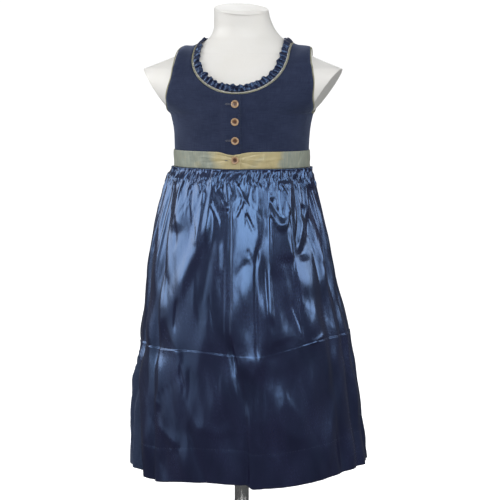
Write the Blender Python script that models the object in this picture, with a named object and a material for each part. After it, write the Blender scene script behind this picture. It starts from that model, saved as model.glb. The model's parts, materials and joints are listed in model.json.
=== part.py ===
"""A child's dirndl with a satin apron, worn by a white dress form on a post and a round base.

Sizes are in metres and +Z is up. The figure faces -Y, the floor is z = 0 and the post stands on the Z axis.
Angles run round the figure in degrees: 0 is the centre front, 90 the +X side, 180 the centre back.
"Out" is a distance from the dress form, or from the skirt's smooth outline, along its outward normal.
"""

import math
from typing import NamedTuple

import bmesh
import bpy
import numpy as np
from mathutils import Vector
from mathutils.geometry import delaunay_2d_cdt

SEAM_GAP = 0.0003

# Cloth thicknesses, linings and turnings included
BODICE_CLOTH = 0.0014
SATIN = 0.0011
SKIRT_CLOTH = 0.0011
BAND_CLOTH = 0.0011

# Heights of the dress above the floor
BAND_BOTTOM = 0.609
BAND_TOP = 0.6345
BODICE_BOTTOM = BAND_BOTTOM
UNDERARM = 0.692
STUMP_TIP = 0.757

# The shoulder stumps end in flat oval faces that slope in from the tip to the underarm
UNDERARM_HALF_WIDTH = 0.1045
STUMP_TIP_HALF_WIDTH = 0.150
STUMP_FACE_HALF_DEPTH = 0.037
STUMP_FACE_TURN = 0.06

# Neckline and armholes
NECK_HALF_WIDTH = 0.0715
NECK_SHOULDER = 0.775
FRONT_NECK_DROP = 0.0555
BACK_NECK_DROP = 0.022
STRAP_OUTER = 0.0895
BACK_ARMHOLE_IN = 0.0060
FRONT_OVERLAP = 0.008

# The dress hangs a little to the figure's left of the form's middle, and its shoulders are turned that way
DRESS_SHIFT = 0.0040
NECK_TURN = 0.0010
STRAP_TURN = 0.0028
SHOULDER_TURN = 0.0048

# How far the cloth lies off the dress form
BODICE_OUT = 0.0014
SHOULDER_REST_OUT = 0.0008
STRAP_LIFT = 0.0085
BAND_OUT = BODICE_OUT + BODICE_CLOTH + 0.0010

PIPING_RADIUS = 0.0010
PIPING_GAP = 0.0006
RUFFLE_WIDTH = 0.0105
RUFFLE_WAVES = 58
RUFFLE_OUT = 0.0010
RUFFLE_WAVE = 0.0011

# Gathers: crests of the satin apron and of the skirt where it shows
APRON_GATHERS = 44
SKIRT_GATHERS = 28
SKIRT_TOP = BAND_BOTTOM - SEAM_GAP
DEEPEST_FOLD = 0.0105

# Between these angles the apron's columns run straight down
LEFT_HOLD = -18.0
RIGHT_HOLD = 80.0

BUTTON_RADIUS = 0.0057
BUTTON_HEIGHTS = (0.7055, 0.6808, 0.6535, 0.6240)

FORM_BOTTOM = 0.345
NECK_CAP = 0.846
NECK_CAP_TILT = math.radians(10.0)
POST_RADIUS = 0.011
BASE_RADIUS = 0.140
BASE_THICKNESS = 0.008
FLANGE_RADIUS = 0.034
FLANGE_THICKNESS = 0.006
BOSS_HEIGHT = 0.030


class Section(NamedTuple):
    """One level section: a half ellipse in front and one behind, moved along X and Y by the shifts."""

    height: float
    half_width: float
    front_depth: float
    back_depth: float
    shift_x: float
    shift_y: float


FIGURE = (
    Section(0.345, 0.096, 0.066, 0.076, 0, 0.000),
    Section(0.362, 0.105, 0.074, 0.086, 0, 0.000),
    Section(0.400, 0.111, 0.078, 0.091, 0, 0.000),
    Section(0.450, 0.109, 0.078, 0.087, 0, 0.000),
    Section(0.500, 0.102, 0.075, 0.078, 0, 0.000),
    Section(0.545, 0.098, 0.072, 0.070, 0, 0.000),
    Section(0.609, 0.0983, 0.072, 0.069, 0, 0.000),
    Section(0.645, 0.0990, 0.073, 0.071, 0, 0.000),
    Section(0.673, 0.1006, 0.075, 0.074, 0, 0.000),
    Section(UNDERARM, UNDERARM_HALF_WIDTH, 0.0755, 0.076, 0, 0.000),
    Section(0.725, 0.140, 0.072, 0.074, 0, 0.001),
    Section(STUMP_TIP, STUMP_TIP_HALF_WIDTH, 0.064, 0.066, 0, 0.003),
    Section(0.776, 0.103, 0.059, 0.061, 0.0015, 0.006),
    Section(0.790, 0.0765, 0.055, 0.056, 0.0050, 0.009),
    Section(0.802, 0.0560, 0.050, 0.050, 0.0044, 0.010),
    Section(0.814, 0.0467, 0.0455, 0.0465, 0.0030, 0.007),
    Section(0.828, 0.0425, 0.0420, 0.0430, 0.0010, 0.002),
    Section(0.860, 0.0395, 0.0400, 0.0405, -0.001, -0.007),
)

# The smooth outline of the gathered skirt, over the crests of its folds
OUTLINE = (
    Section(0.155, 0.1830, 0.1460, 0.148, 0.0110, 0),
    Section(0.178, 0.1823, 0.1450, 0.147, 0.0103, 0),
    Section(0.223, 0.1790, 0.1420, 0.143, 0.0075, 0),
    Section(0.285, 0.1731, 0.1370, 0.137, 0.0057, 0),
    Section(0.322, 0.1678, 0.1335, 0.132, 0.0055, 0),
    Section(0.342, 0.1625, 0.1300, 0.128, 0.0070, 0),
    Section(0.366, 0.1600, 0.1280, 0.126, 0.0062, 0),
    Section(0.409, 0.1518, 0.1210, 0.119, 0.0030, 0),
    Section(0.470, 0.1411, 0.1120, 0.110, -0.0011, 0),
    Section(0.515, 0.1326, 0.1050, 0.102, -0.0016, 0),
    Section(0.561, 0.1203, 0.0955, 0.0925, -0.0022, 0),
    Section(0.583, 0.1136, 0.0890, 0.0860, -0.0021, 0),
    Section(0.598, 0.1084, 0.0835, 0.0810, -0.0020, 0),
    Section(0.6087, 0.1038, 0.0780, 0.0750, 0, 0),
    Section(0.6130, 0.1038, 0.0780, 0.0750, 0, 0),
)


class Layer(NamedTuple):
    """At one height: the depths of the small and middling gathers, and the share of the long folds."""

    height: float
    gather: float
    crumple: float
    fold: float


LAYERS = (
    Layer(0.155, 0.0000, 0.0000, 1.00),
    Layer(0.300, 0.0000, 0.0000, 1.00),
    Layer(0.409, 0.0000, 0.0003, 0.95),
    Layer(0.470, 0.0000, 0.0010, 0.80),
    Layer(0.515, 0.0003, 0.0016, 0.60),
    Layer(0.561, 0.0010, 0.0013, 0.32),
    Layer(0.583, 0.0013, 0.0008, 0.15),
    Layer(0.598, 0.0011, 0.0003, 0.04),
    Layer(0.6087, 0.0007, 0.0000, 0.00),
    Layer(0.6130, 0.0007, 0.0000, 0.00),
)


class ApronEdge(NamedTuple):
    """Where the apron's two side edges lie, as angles, at one height."""

    height: float
    left: float
    right: float


APRON_EDGES = (
    ApronEdge(0.155, -52.5, 100.0),
    ApronEdge(0.223, -54.5, 101.0),
    ApronEdge(0.265, -57.0, 102.0),
    ApronEdge(0.300, -62.0, 102.0),
    ApronEdge(0.342, -75.0, 103.0),
    ApronEdge(0.366, -86.0, 103.0),
    ApronEdge(0.450, -89.0, 104.0),
    ApronEdge(0.6087, -89.0, 104.0),
)


class Fold(NamedTuple):
    """A trough down the cloth: angles and depths at waist and hem, and half its width in degrees."""

    top_angle: float
    hem_angle: float
    half_width: float
    top_depth: float
    hem_depth: float


APRON_FOLDS = (
    Fold(-72.0, -62.0, 4.0, 0.0065, 0.0065),
    Fold(-56.5, -47.5, 3.2, 0.0100, 0.0100),
    Fold(-24.0, -18.0, 6.0, 0.0040, 0.0040),
    Fold(2.5, 4.0, 3.0, 0.0100, 0.0100),
    Fold(23.5, 14.0, 2.6, 0.0080, 0.0045),
    Fold(33.0, 22.5, 3.2, 0.0110, 0.0010),
    Fold(43.0, 43.0, 3.4, 0.0050, 0.0010),
    Fold(61.0, 59.0, 4.6, 0.0080, 0.0060),
    Fold(75.0, 73.0, 3.6, 0.0060, 0.0060),
    Fold(88.0, 86.0, 4.0, 0.0080, 0.0080),
    Fold(99.0, 96.0, 3.6, 0.0060, 0.0060),
)

SKIRT_FOLDS = (
    Fold(112.0, 110.0, 4.5, 0.0085, 0.0085),
    Fold(126.0, 125.0, 4.0, 0.0065, 0.0065),
    Fold(141.0, 140.0, 5.0, 0.0095, 0.0095),
    Fold(157.0, 155.0, 3.8, 0.0060, 0.0060),
    Fold(170.0, 171.0, 4.6, 0.0090, 0.0090),
    Fold(186.0, 187.0, 4.0, 0.0070, 0.0070),
    Fold(201.0, 203.0, 5.0, 0.0095, 0.0095),
    Fold(217.0, 219.0, 3.8, 0.0060, 0.0060),
    Fold(232.0, 235.0, 4.6, 0.0090, 0.0090),
    Fold(250.0, 252.0, 4.6, 0.0075, 0.0075),
    Fold(288.0, 288.0, 4.0, 0.0060, 0.0060),
)


class EdgePoint(NamedTuple):
    """How far from the dress's middle an edge runs at one height."""

    height: float
    x: float


ARMHOLE = (
    EdgePoint(UNDERARM, UNDERARM_HALF_WIDTH),
    EdgePoint(0.699, 0.1070),
    EdgePoint(0.710, 0.1068),
    EdgePoint(0.729, 0.1058),
    EdgePoint(0.744, 0.1032),
    EdgePoint(STUMP_TIP, 0.1000),
)


class HemPoint(NamedTuple):
    """How high the hem hangs at one angle."""

    angle: float
    height: float


HEM = (
    HemPoint(-90.0, 0.1530),
    HemPoint(-69.0, 0.1545),
    HemPoint(-43.0, 0.1510),
    HemPoint(-20.0, 0.1595),
    HemPoint(-4.0, 0.1612),
    HemPoint(4.0, 0.1612),
    HemPoint(6.5, 0.1605),
    HemPoint(9.5, 0.1553),
    HemPoint(12.0, 0.1550),
    HemPoint(20.0, 0.1558),
    HemPoint(40.0, 0.1630),
    HemPoint(70.0, 0.1700),
    HemPoint(100.0, 0.1665),
    HemPoint(140.0, 0.1610),
    HemPoint(180.0, 0.1570),
    HemPoint(225.0, 0.1545),
    HemPoint(270.0, 0.1530),
)

APRON_ROWS = (0.0, 0.012, 0.03, 0.055, 0.09, 0.14, 0.21, 0.3, 0.41, 0.53, 0.66, 0.82, 1.0)
SKIRT_ROWS = (0.0, 0.024, 0.06, 0.11, 0.19, 0.31, 0.46, 0.63, 0.81, 1.0)


def column(table, name):
    return np.array([getattr(row, name) for row in table], float)


def curve_through(xs, ys, x):
    """A cubic through the points that takes its slopes from their neighbours and is level past the ends."""
    slopes = np.gradient(ys, xs)
    at = np.clip(np.searchsorted(xs, x) - 1, 0, len(xs) - 2)
    span = xs[at + 1] - xs[at]
    t = np.clip((x - xs[at]) / span, 0.0, 1.0)
    return (
        (2 * t**3 - 3 * t**2 + 1) * ys[at]
        + (t**3 - 2 * t**2 + t) * span * slopes[at]
        + (3 * t**2 - 2 * t**3) * ys[at + 1]
        + (t**3 - t**2) * span * slopes[at + 1]
    )


def looked_up(table, name, x, key="height"):
    return curve_through(column(table, key), column(table, name), np.asarray(x, float))


def ease(t):
    """0 below 0, 1 above 1, and a smooth step between."""
    t = np.clip(t, 0.0, 1.0)
    return t * t * (3 - 2 * t)


def figure_half_width(height):
    """Half the figure's width. From underarm to stump tip it is the ellipse that gives an oval stump face."""
    height = np.asarray(height, float)
    up = np.clip((height - UNDERARM) / (STUMP_TIP - UNDERARM), 0.0, 1.0)
    face = UNDERARM_HALF_WIDTH + (STUMP_TIP_HALF_WIDTH - UNDERARM_HALF_WIDTH) * up
    face_depth = STUMP_FACE_HALF_DEPTH * np.sqrt(1 - (2 * up - 1) ** 2)
    depth = looked_up(FIGURE, "front_depth", height)
    stump = face / np.sqrt(1 - (face_depth / depth) ** 2)
    in_stump = (height > UNDERARM) & (height < STUMP_TIP)
    below = tuple(row for row in FIGURE if row.height <= UNDERARM)
    above = tuple(row for row in FIGURE if row.height >= STUMP_TIP)
    plain = np.where(
        height <= UNDERARM, looked_up(below, "half_width", height), looked_up(above, "half_width", height)
    )
    return np.where(in_stump, stump, plain)


def figure_angle(x, height, side):
    """The angle at which the figure lies x out from the middle plane, on the -X (-1) or +X (1) side."""
    from_axis = x - side * looked_up(FIGURE, "shift_x", height)
    return np.degrees(np.arcsin(np.minimum(from_axis / figure_half_width(height), 1.0)))


def shoulder_height(x, angle, side):
    """The heights at which the top of the shoulder lies x out at these angles."""
    heights = np.linspace(STUMP_TIP, 0.812, 240)
    width = figure_half_width(heights)
    shift = side * looked_up(FIGURE, "shift_x", heights)
    found = [
        np.interp(-one_x, -(width * math.sin(math.radians(one_angle)) + shift), heights)
        for one_x, one_angle in zip(x, angle)
    ]
    return np.array(found)


def on_figure(angle, height):
    turn = np.radians(angle)
    depth = np.where(
        np.cos(turn) > 0, looked_up(FIGURE, "front_depth", height), looked_up(FIGURE, "back_depth", height)
    )
    x = looked_up(FIGURE, "shift_x", height) + figure_half_width(height) * np.sin(turn)
    y = looked_up(FIGURE, "shift_y", height) - depth * np.cos(turn)
    return np.stack(np.broadcast_arrays(x, y, height), -1)


def on_outline(angle, height):
    turn = np.radians(angle)
    depth = np.where(
        np.cos(turn) > 0, looked_up(OUTLINE, "front_depth", height), looked_up(OUTLINE, "back_depth", height)
    )
    x = looked_up(OUTLINE, "shift_x", height) + looked_up(OUTLINE, "half_width", height) * np.sin(turn)
    y = looked_up(OUTLINE, "shift_y", height) - depth * np.cos(turn)
    return np.stack(np.broadcast_arrays(x, y, height), -1)


def moved_out(surface, angle, height, out):
    """Points of a surface, moved along its outward normals, which are taken over a few millimetres of it."""
    angle, height, out = np.broadcast_arrays(
        np.asarray(angle, float), np.asarray(height, float), np.asarray(out, float)
    )
    turn_step, rise_step = 0.6, 0.0025
    across = surface(angle + turn_step, height) - surface(angle - turn_step, height)
    up = surface(angle, height + rise_step) - surface(angle, height - rise_step)
    normal = np.cross(across, up)
    normal /= np.linalg.norm(normal, axis=-1, keepdims=True)
    return surface(angle, height) + normal * out[..., None]


def spaced(angle, height, count, closed=False):
    """The same path over the figure, with its points an even distance apart."""
    points = on_figure(angle, height)
    steps = np.linalg.norm(np.diff(points, axis=0), axis=1)
    along = np.concatenate([[0.0], np.cumsum(steps)])
    at = np.linspace(0.0, along[-1], count + 1)
    if closed:
        at = at[:-1]
    return np.interp(at, along, angle), np.interp(at, along, height)


# Steps along a half panel's side seam and along its neckline and armhole
ROWS_BELOW = 6
EDGE_STEPS = 16
SEAM_ANGLE = 90.0 - math.degrees(0.0005 / 2 / 0.055)
FLAT_RADIUS = 0.085
PANEL_SPACING = 0.0125


def neckline_quarter(drop, side):
    """The neckline from the dress's middle to the shoulder seam, on the -X (-1) or +X (1) side."""
    turn = np.linspace(0.0, math.pi / 2, 60)
    x = side * DRESS_SHIFT + (NECK_HALF_WIDTH + side * NECK_TURN) * np.sin(turn)
    height = NECK_SHOULDER - drop * np.cos(turn)
    angle = figure_angle(x, height, side)
    over_angle = np.linspace(angle[-1], 90.0, 40)[1:]
    over_height = shoulder_height(np.full(39, x[-1]), over_angle, side)
    return np.concatenate([angle, over_angle]), np.concatenate([height, over_height])


def armhole_half(front, side):
    """The armhole from the underarm up the stump's front or back and over the shoulder to the seam."""
    height = np.linspace(UNDERARM, STUMP_TIP, 80)
    shift = side * DRESS_SHIFT * ease(4 * (height - UNDERARM) / (STUMP_TIP - UNDERARM))
    turned_by = side * SHOULDER_TURN * ease((height - 0.712) / 0.033)
    if front:
        x = looked_up(ARMHOLE, "x", height) + shift + turned_by
    else:
        inward = BACK_ARMHOLE_IN * ease((height - UNDERARM) / 0.012)
        x = looked_up(ARMHOLE, "x", height) + shift - turned_by - inward
    angle = figure_angle(x, height, side)
    over_angle = np.linspace(angle[-1], 90.0, 50)[1:]
    share = ((over_angle - angle[-1]) / (90.0 - angle[-1])) ** 0.6
    top_x = STRAP_OUTER + side * (DRESS_SHIFT + STRAP_TURN)
    over_height = shoulder_height(x[-1] + (top_x - x[-1]) * share, over_angle, side)
    return np.concatenate([angle, over_angle]), np.concatenate([height, over_height])


def bodice_out(angle, height):
    """How far the bodice lies off the form: it rests by the neck, and the strap's outer edge stands up."""
    across = figure_half_width(height) * np.sin(np.radians(angle)) + looked_up(FIGURE, "shift_x", height)
    x = np.abs(across - DRESS_SHIFT)
    upper = ease((height - 0.742) / 0.036)
    lift = STRAP_LIFT * upper * ease((x - 0.074) / 0.020)
    rest = (BODICE_OUT - SHOULDER_REST_OUT) * ease((height - 0.765) / 0.020)
    return BODICE_OUT - rest + lift


def overlap_lift(x):
    """The closing's upper layer stands off by the lower one's thickness. x is across, from the middle."""
    return (BODICE_CLOTH + 0.0008) * ease((0.024 - x) / 0.012)


def half_outline(drop, front, side):
    """Half a panel's outline, from the waist's middle round by the side, armhole, shoulder and neckline."""
    arm_angle, arm_height = spaced(*armhole_half(front, side), EDGE_STEPS)
    neck_angle, neck_height = spaced(*neckline_quarter(drop, side), EDGE_STEPS)
    middle = float(figure_angle(side * DRESS_SHIFT, BODICE_BOTTOM, side))
    waist = np.linspace(middle, SEAM_ANGLE, 11), np.full(11, BODICE_BOTTOM)
    side = np.full(ROWS_BELOW, SEAM_ANGLE), np.linspace(BODICE_BOTTOM, UNDERARM, ROWS_BELOW + 1)[1:]
    shoulder = np.linspace(arm_height[-1], neck_height[-1], 4)[1:-1]
    angle = np.concatenate([waist[0], side[0], arm_angle[1:], np.full(2, SEAM_ANGLE), neck_angle[::-1]])
    height = np.concatenate([waist[1], side[1], arm_height[1:], shoulder, neck_height[::-1]])
    return np.minimum(angle, SEAM_ANGLE), height


def laid_flat(angle, height):
    """Where a place on the figure lies in the panel laid flat, near enough to cut even triangles."""
    levels = np.linspace(BODICE_BOTTOM, 0.815, 300)
    line = on_figure(np.full(len(levels), 60.0), levels)
    length = np.concatenate([[0.0], np.cumsum(np.linalg.norm(np.diff(line, axis=0), axis=1))])
    return np.radians(angle) * FLAT_RADIUS, np.interp(height, levels, length)


def panel_triangles(angle, height, spacing):
    """Fills a panel's outline with evenly spaced points and triangles. Gives angles, heights and faces."""
    across, up = laid_flat(angle, height)
    levels = np.linspace(BODICE_BOTTOM, 0.815, 300)
    level_up = laid_flat(np.zeros(300), levels)[1]
    border = np.stack([across, up], 1)
    inside = []
    for row, v in enumerate(np.arange(up.min() + spacing * 0.8, up.max(), spacing * 0.87)):
        for u in np.arange(across.min() + spacing * (0.5 + 0.5 * (row % 2)), across.max(), spacing):
            crossed = 0
            nearest = 1.0
            for a, b in zip(border, np.roll(border, -1, axis=0)):
                if (a[1] > v) != (b[1] > v) and u < a[0] + (v - a[1]) / (b[1] - a[1]) * (b[0] - a[0]):
                    crossed += 1
                share = np.clip(np.dot((u, v) - a, b - a) / np.dot(b - a, b - a), 0.0, 1.0)
                nearest = min(nearest, float(np.linalg.norm(a + (b - a) * share - (u, v))))
            if crossed % 2 and nearest > spacing * 0.55:
                inside.append((u, v))
    points = [Vector(p) for p in border] + [Vector(p) for p in inside]
    edges = [(i, (i + 1) % len(border)) for i in range(len(border))]
    flat, _, faces, *_ = delaunay_2d_cdt(points, edges, [], 1, 1e-7)
    flat = np.array([tuple(p) for p in flat])
    panel_angle = np.degrees(flat[:, 0] / FLAT_RADIUS)
    return panel_angle, np.interp(flat[:, 1], level_up, levels), [tuple(face) for face in faces]


def grid_faces(rows, columns, closed=False):
    """Triangles over a grid of points, every square cut the same way."""
    faces = []
    for row in range(rows - 1):
        for col in range(columns if closed else columns - 1):
            a = row * columns + col
            b = row * columns + (col + 1) % columns
            c, d = b + columns, a + columns
            faces += [(a, b, c), (a, c, d)]
    return faces


def material(name, colour, roughness, metallic=0.0):
    made = bpy.data.materials.new(name)
    made.use_nodes = True
    shader = made.node_tree.nodes["Principled BSDF"]
    shader.inputs["Base Color"].default_value = (*colour, 1.0)
    shader.inputs["Roughness"].default_value = roughness
    shader.inputs["Metallic"].default_value = metallic
    return made


def add(name, vertices, faces, finish, smooth=True):
    mesh = bpy.data.meshes.new(name)
    mesh.from_pydata([tuple(map(float, v)) for v in vertices], [], faces)
    mesh.materials.append(finish)
    if smooth:
        mesh.shade_smooth()
    made = bpy.data.objects.new(name, mesh)
    bpy.context.scene.collection.objects.link(made)
    return made


def give_thickness(cloth, thickness, outward):
    """Turns a single layer into a wall that grows outwards or inwards."""
    wall = cloth.modifiers.new("wall", "SOLIDIFY")
    wall.thickness = thickness
    wall.offset = 1.0 if outward else -1.0
    wall.use_rim = True
    return cloth


def cloth_wall(name, points, finish, thickness, outward=True, closed=False):
    """A cloth wall from a grid of points, rows by columns."""
    rows, columns = points.shape[:2]
    cloth = add(name, points.reshape(-1, 3), grid_faces(rows, columns, closed), finish)
    return give_thickness(cloth, thickness, outward)


def make_bodice_front(name, side, upper, finish):
    """side is -1 or 1 along X. The upper layer of the closing stands off the lower one."""
    shift = side * DRESS_SHIFT
    angle, height = half_outline(FRONT_NECK_DROP, True, side)
    rise = np.linspace(height[-1], BODICE_BOTTOM, 11)
    past = figure_angle(shift - FRONT_OVERLAP, rise, side)
    angle, height, faces = panel_triangles(
        np.concatenate([angle, past]), np.concatenate([height, rise]), PANEL_SPACING
    )
    out = bodice_out(angle * side, height)
    if upper:
        out = out + overlap_lift(figure_half_width(height) * np.sin(np.radians(angle)) - shift)
    points = moved_out(on_figure, angle * side, height, out)
    if side < 0:
        faces = [face[::-1] for face in faces]
    return give_thickness(add(name, points, faces, finish), BODICE_CLOTH, outward=True)


def make_bodice_back(finish):
    """The back is one piece of cloth from side seam to side seam. Seen from behind, +X is on the left."""
    right_angle, right_height = half_outline(BACK_NECK_DROP, False, -1)
    left_angle, left_height = half_outline(BACK_NECK_DROP, False, 1)
    angle = np.concatenate([right_angle, -left_angle[::-1][1:-1]])
    height = np.concatenate([right_height, left_height[::-1][1:-1]])
    angle, height, faces = panel_triangles(angle, height, PANEL_SPACING)
    points = moved_out(on_figure, 180.0 + angle, height, bodice_out(180.0 + angle, height))
    return give_thickness(add("bodice_back", points, faces, finish), BODICE_CLOTH, outward=True)


def neck_loop():
    """The whole neckline from centre front round by +X, at the panels' own edge points."""
    halves = []
    for side in (1, -1):
        front_angle, front_height = spaced(*neckline_quarter(FRONT_NECK_DROP, side), EDGE_STEPS)
        back_angle, back_height = spaced(*neckline_quarter(BACK_NECK_DROP, side), EDGE_STEPS)
        angle = np.concatenate([front_angle, (180.0 - back_angle)[::-1][1:]])
        halves.append((angle, np.concatenate([front_height, back_height[::-1][1:]])))
    (left_angle, left_height), (right_angle, right_height) = halves
    angle = np.concatenate([left_angle, (360.0 - right_angle)[::-1][1:-1]])
    height = np.concatenate([left_height, right_height[::-1][1:-1]])
    return angle, height


def armhole_loop(side):
    """One armhole, from the underarm up the front, over the shoulder and down the back."""
    front_angle, front_height = spaced(*armhole_half(True, side), EDGE_STEPS)
    back_angle, back_height = spaced(*armhole_half(False, side), EDGE_STEPS)
    angle = np.concatenate([front_angle, (180.0 - back_angle)[::-1][1:-1]])
    height = np.concatenate([front_height, back_height[::-1][1:-1]])
    return angle * side, height


def piping_out(angle, height):
    """The piping's middle lies level with the middle of the cloth that it edges, and clear of the form."""
    return np.maximum(bodice_out(angle, height) + BODICE_CLOTH / 2, PIPING_RADIUS + SHOULDER_REST_OUT)


def loop_frame(angle, height, out):
    """Points of a closed path over the figure, its outward normals and its sideways directions."""
    points = moved_out(on_figure, angle, height, out)
    normal = points - moved_out(on_figure, angle, height, out - 0.001)
    normal /= np.linalg.norm(normal, axis=1, keepdims=True)
    along = np.roll(points, -1, axis=0) - np.roll(points, 1, axis=0)
    along /= np.linalg.norm(along, axis=1, keepdims=True)
    sideways = np.cross(normal, along)
    sideways /= np.linalg.norm(sideways, axis=1, keepdims=True)
    return points, normal, sideways


def tube(name, centres, radius, finish):
    """Piping: a closed round cord through the centres."""
    path = bpy.data.curves.new(name, "CURVE")
    path.dimensions = "3D"
    path.bevel_depth = radius
    path.bevel_resolution = 1
    line = path.splines.new("POLY")
    line.points.add(len(centres) - 1)
    for point, centre in zip(line.points, centres):
        point.co = (*map(float, centre), 1.0)
    line.use_cyclic_u = True
    path.materials.append(finish)
    made = bpy.data.objects.new(name, path)
    bpy.context.scene.collection.objects.link(made)
    return made


def make_neck_trims(piping, satin):
    """The piping on the neckline's edge, and the ruffle that stands inside it."""
    angle, height = neck_loop()
    edge, _, inward = loop_frame(angle, height, piping_out(angle, height))
    tube("neck_piping", edge + inward * (PIPING_GAP + PIPING_RADIUS), PIPING_RADIUS, piping)
    angle = np.append(angle, angle[0] + 360.0)
    height = np.append(height, height[0])
    angle, height = spaced(angle, height, 2 * RUFFLE_WAVES, closed=True)
    wave = np.where(np.arange(len(angle)) % 2 == 0, 1.0, -1.0) * RUFFLE_WAVE
    root = 2 * PIPING_GAP + 2 * PIPING_RADIUS + 0.0012
    rings = []
    for share, swing in ((0.0, 0.35), (0.5, 1.0), (1.0, 1.35)):
        reach = root + RUFFLE_WIDTH * share
        points, normal, inward = loop_frame(angle, height, np.full(len(angle), RUFFLE_OUT))
        lift = (wave * swing + RUFFLE_WAVE * swing)[:, None]
        rings.append(settled(points + inward * reach) + normal * lift)
    ruffle = np.stack(rings)
    return cloth_wall("neck_ruffle", ruffle, satin, SATIN, closed=True)


def settled(points):
    """Points near the figure's upper part, pushed out until they clear it by the ruffle's distance."""
    height = points[:, 2]
    angle = np.degrees(np.arctan2(points[:, 0], -(points[:, 1] - looked_up(FIGURE, "shift_y", height))))
    depth = np.where(
        np.abs(angle) < 90, looked_up(FIGURE, "front_depth", height), looked_up(FIGURE, "back_depth", height)
    )
    true_angle = np.degrees(
        np.arctan2(np.sin(np.radians(angle)) / figure_half_width(height), np.cos(np.radians(angle)) / depth)
    )
    skin = moved_out(on_figure, true_angle, height, RUFFLE_OUT)
    outward = skin - on_figure(true_angle, height)
    outward /= np.linalg.norm(outward, axis=1, keepdims=True)
    short = np.sum((skin - points) * outward, axis=1)
    return points + outward * np.maximum(short, 0.0)[:, None]


def make_armhole_piping(name, side, piping):
    angle, height = armhole_loop(side)
    edge, _, away = loop_frame(angle, height, piping_out(angle, height))
    return tube(name, edge - away * side * (PIPING_GAP + PIPING_RADIUS), PIPING_RADIUS, piping)


def make_waistband(finish):
    """One strip all round the waist, whose end laps over its beginning at the centre front."""
    under = -3.0
    over = 367.0
    angle = np.concatenate(
        [np.linspace(under, 22.0, 8), np.linspace(28.0, 334.0, 45), np.linspace(340.0, over, 9)]
    )
    x = figure_half_width(BAND_TOP) * np.sin(np.radians(angle)) - DRESS_SHIFT
    near_front = np.cos(np.radians(angle)) > 0
    bump = overlap_lift(-x) * ease((0.024 - x) / 0.014) * near_front
    lap = (BAND_CLOTH + 0.0004) * ease((angle - 336.0) / 12.0)
    height = np.linspace(BAND_BOTTOM, BAND_TOP, 3)[:, None]
    points = moved_out(on_figure, angle[None, :], height, (BAND_OUT + bump + lap)[None, :])
    return cloth_wall("waistband", points, finish, BAND_CLOTH)


def trough(offset, half_width):
    """A soft trough across the cloth: 1 at its middle, 0 past its half width and a half."""
    return np.exp(-((offset / half_width) ** 2) * 1.4)


def fold_depth(folds, angle, height):
    """The deepest of the troughs at each point."""
    down = (SKIRT_TOP - height) / (SKIRT_TOP - OUTLINE[0].height)
    depth = np.zeros(np.broadcast(angle, height).shape)
    for fold in folds:
        middle = fold.top_angle + (fold.hem_angle - fold.top_angle) * down
        deep = fold.top_depth + (fold.hem_depth - fold.top_depth) * down
        depth = np.maximum(depth, deep * trough(angle - middle, fold.half_width))
    return depth


def gathers(count_along, height):
    """Two sizes of small gather near the waist. Each step along the cloth is half a small gather."""
    small = np.where(count_along % 2 == 0, 0.0, -2.0) * looked_up(LAYERS, "gather", height)
    middling = (np.cos(math.pi * count_along / 2) - 1.0) * looked_up(LAYERS, "crumple", height)
    return small + middling


def hem_height(angle):
    around = (np.asarray(angle, float) + 90.0) % 360.0 - 90.0
    return looked_up(HEM, "height", around, key="angle")


def apron_angles(height):
    """The apron's columns run straight down in the middle and close up where the side edges move in."""
    widest_left, widest_right = APRON_EDGES[-1].left, APRON_EDGES[-1].right
    plain = np.linspace(widest_left, widest_right, 2 * APRON_GATHERS + 1)[None, :]
    left = looked_up(APRON_EDGES, "left", height)
    right = looked_up(APRON_EDGES, "right", height)
    closing_left = (plain - widest_left) / (LEFT_HOLD - widest_left) * (LEFT_HOLD - left) + left
    closing_right = (plain - RIGHT_HOLD) / (widest_right - RIGHT_HOLD) * (right - RIGHT_HOLD) + RIGHT_HOLD
    return np.where(plain < LEFT_HOLD, closing_left, np.where(plain > RIGHT_HOLD, closing_right, plain))


def make_apron(finish):
    """The satin apron hangs from the waistband over the front and both sides of the skirt."""
    share = np.array(APRON_ROWS)[:, None]
    nominal = SKIRT_TOP + (OUTLINE[0].height - SKIRT_TOP) * share
    angle = apron_angles(nominal)
    steps = np.arange(angle.shape[1])[None, :]
    height = SKIRT_TOP + (hem_height(angle) - SKIRT_TOP) * share
    out = gathers(steps, height) - fold_depth(APRON_FOLDS, angle, height) * looked_up(LAYERS, "fold", height)
    points = moved_out(on_outline, angle, height, out)[::-1]
    return cloth_wall("apron", points, finish, SATIN, outward=False)


def skirt_out(angle, steps, height):
    """The skirt lies well inside the outline under the apron, and comes out to it beyond its edges."""
    left = looked_up(APRON_EDGES, "left", height + 0.025) + 360.0
    right = looked_up(APRON_EDGES, "right", height)
    around = np.where(angle < -45.0, angle + 360.0, angle)
    shown = ease((around - right - 3.0) / 10.0) * ease((left - 5.0 - around) / 10.0)
    small = looked_up(LAYERS, "gather", height) + looked_up(LAYERS, "crumple", height)
    share = looked_up(LAYERS, "fold", height)
    under = 2 * small + DEEPEST_FOLD * share + SATIN + 0.0008
    folds = fold_depth(SKIRT_FOLDS, around, height) * share
    return -under * (1 - shown) + (gathers(steps, height) - folds) * shown


def make_skirt(name, angles, finish):
    steps = np.arange(len(angles))[None, :]
    share = np.array(SKIRT_ROWS)[:, None]
    angle = np.asarray(angles)[None, :]
    height = SKIRT_TOP + (hem_height(angle) + 0.002 - SKIRT_TOP) * share
    points = moved_out(on_outline, angle, height, skirt_out(angle, steps, height))[::-1]
    return cloth_wall(name, points, finish, SKIRT_CLOTH, outward=False)


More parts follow.
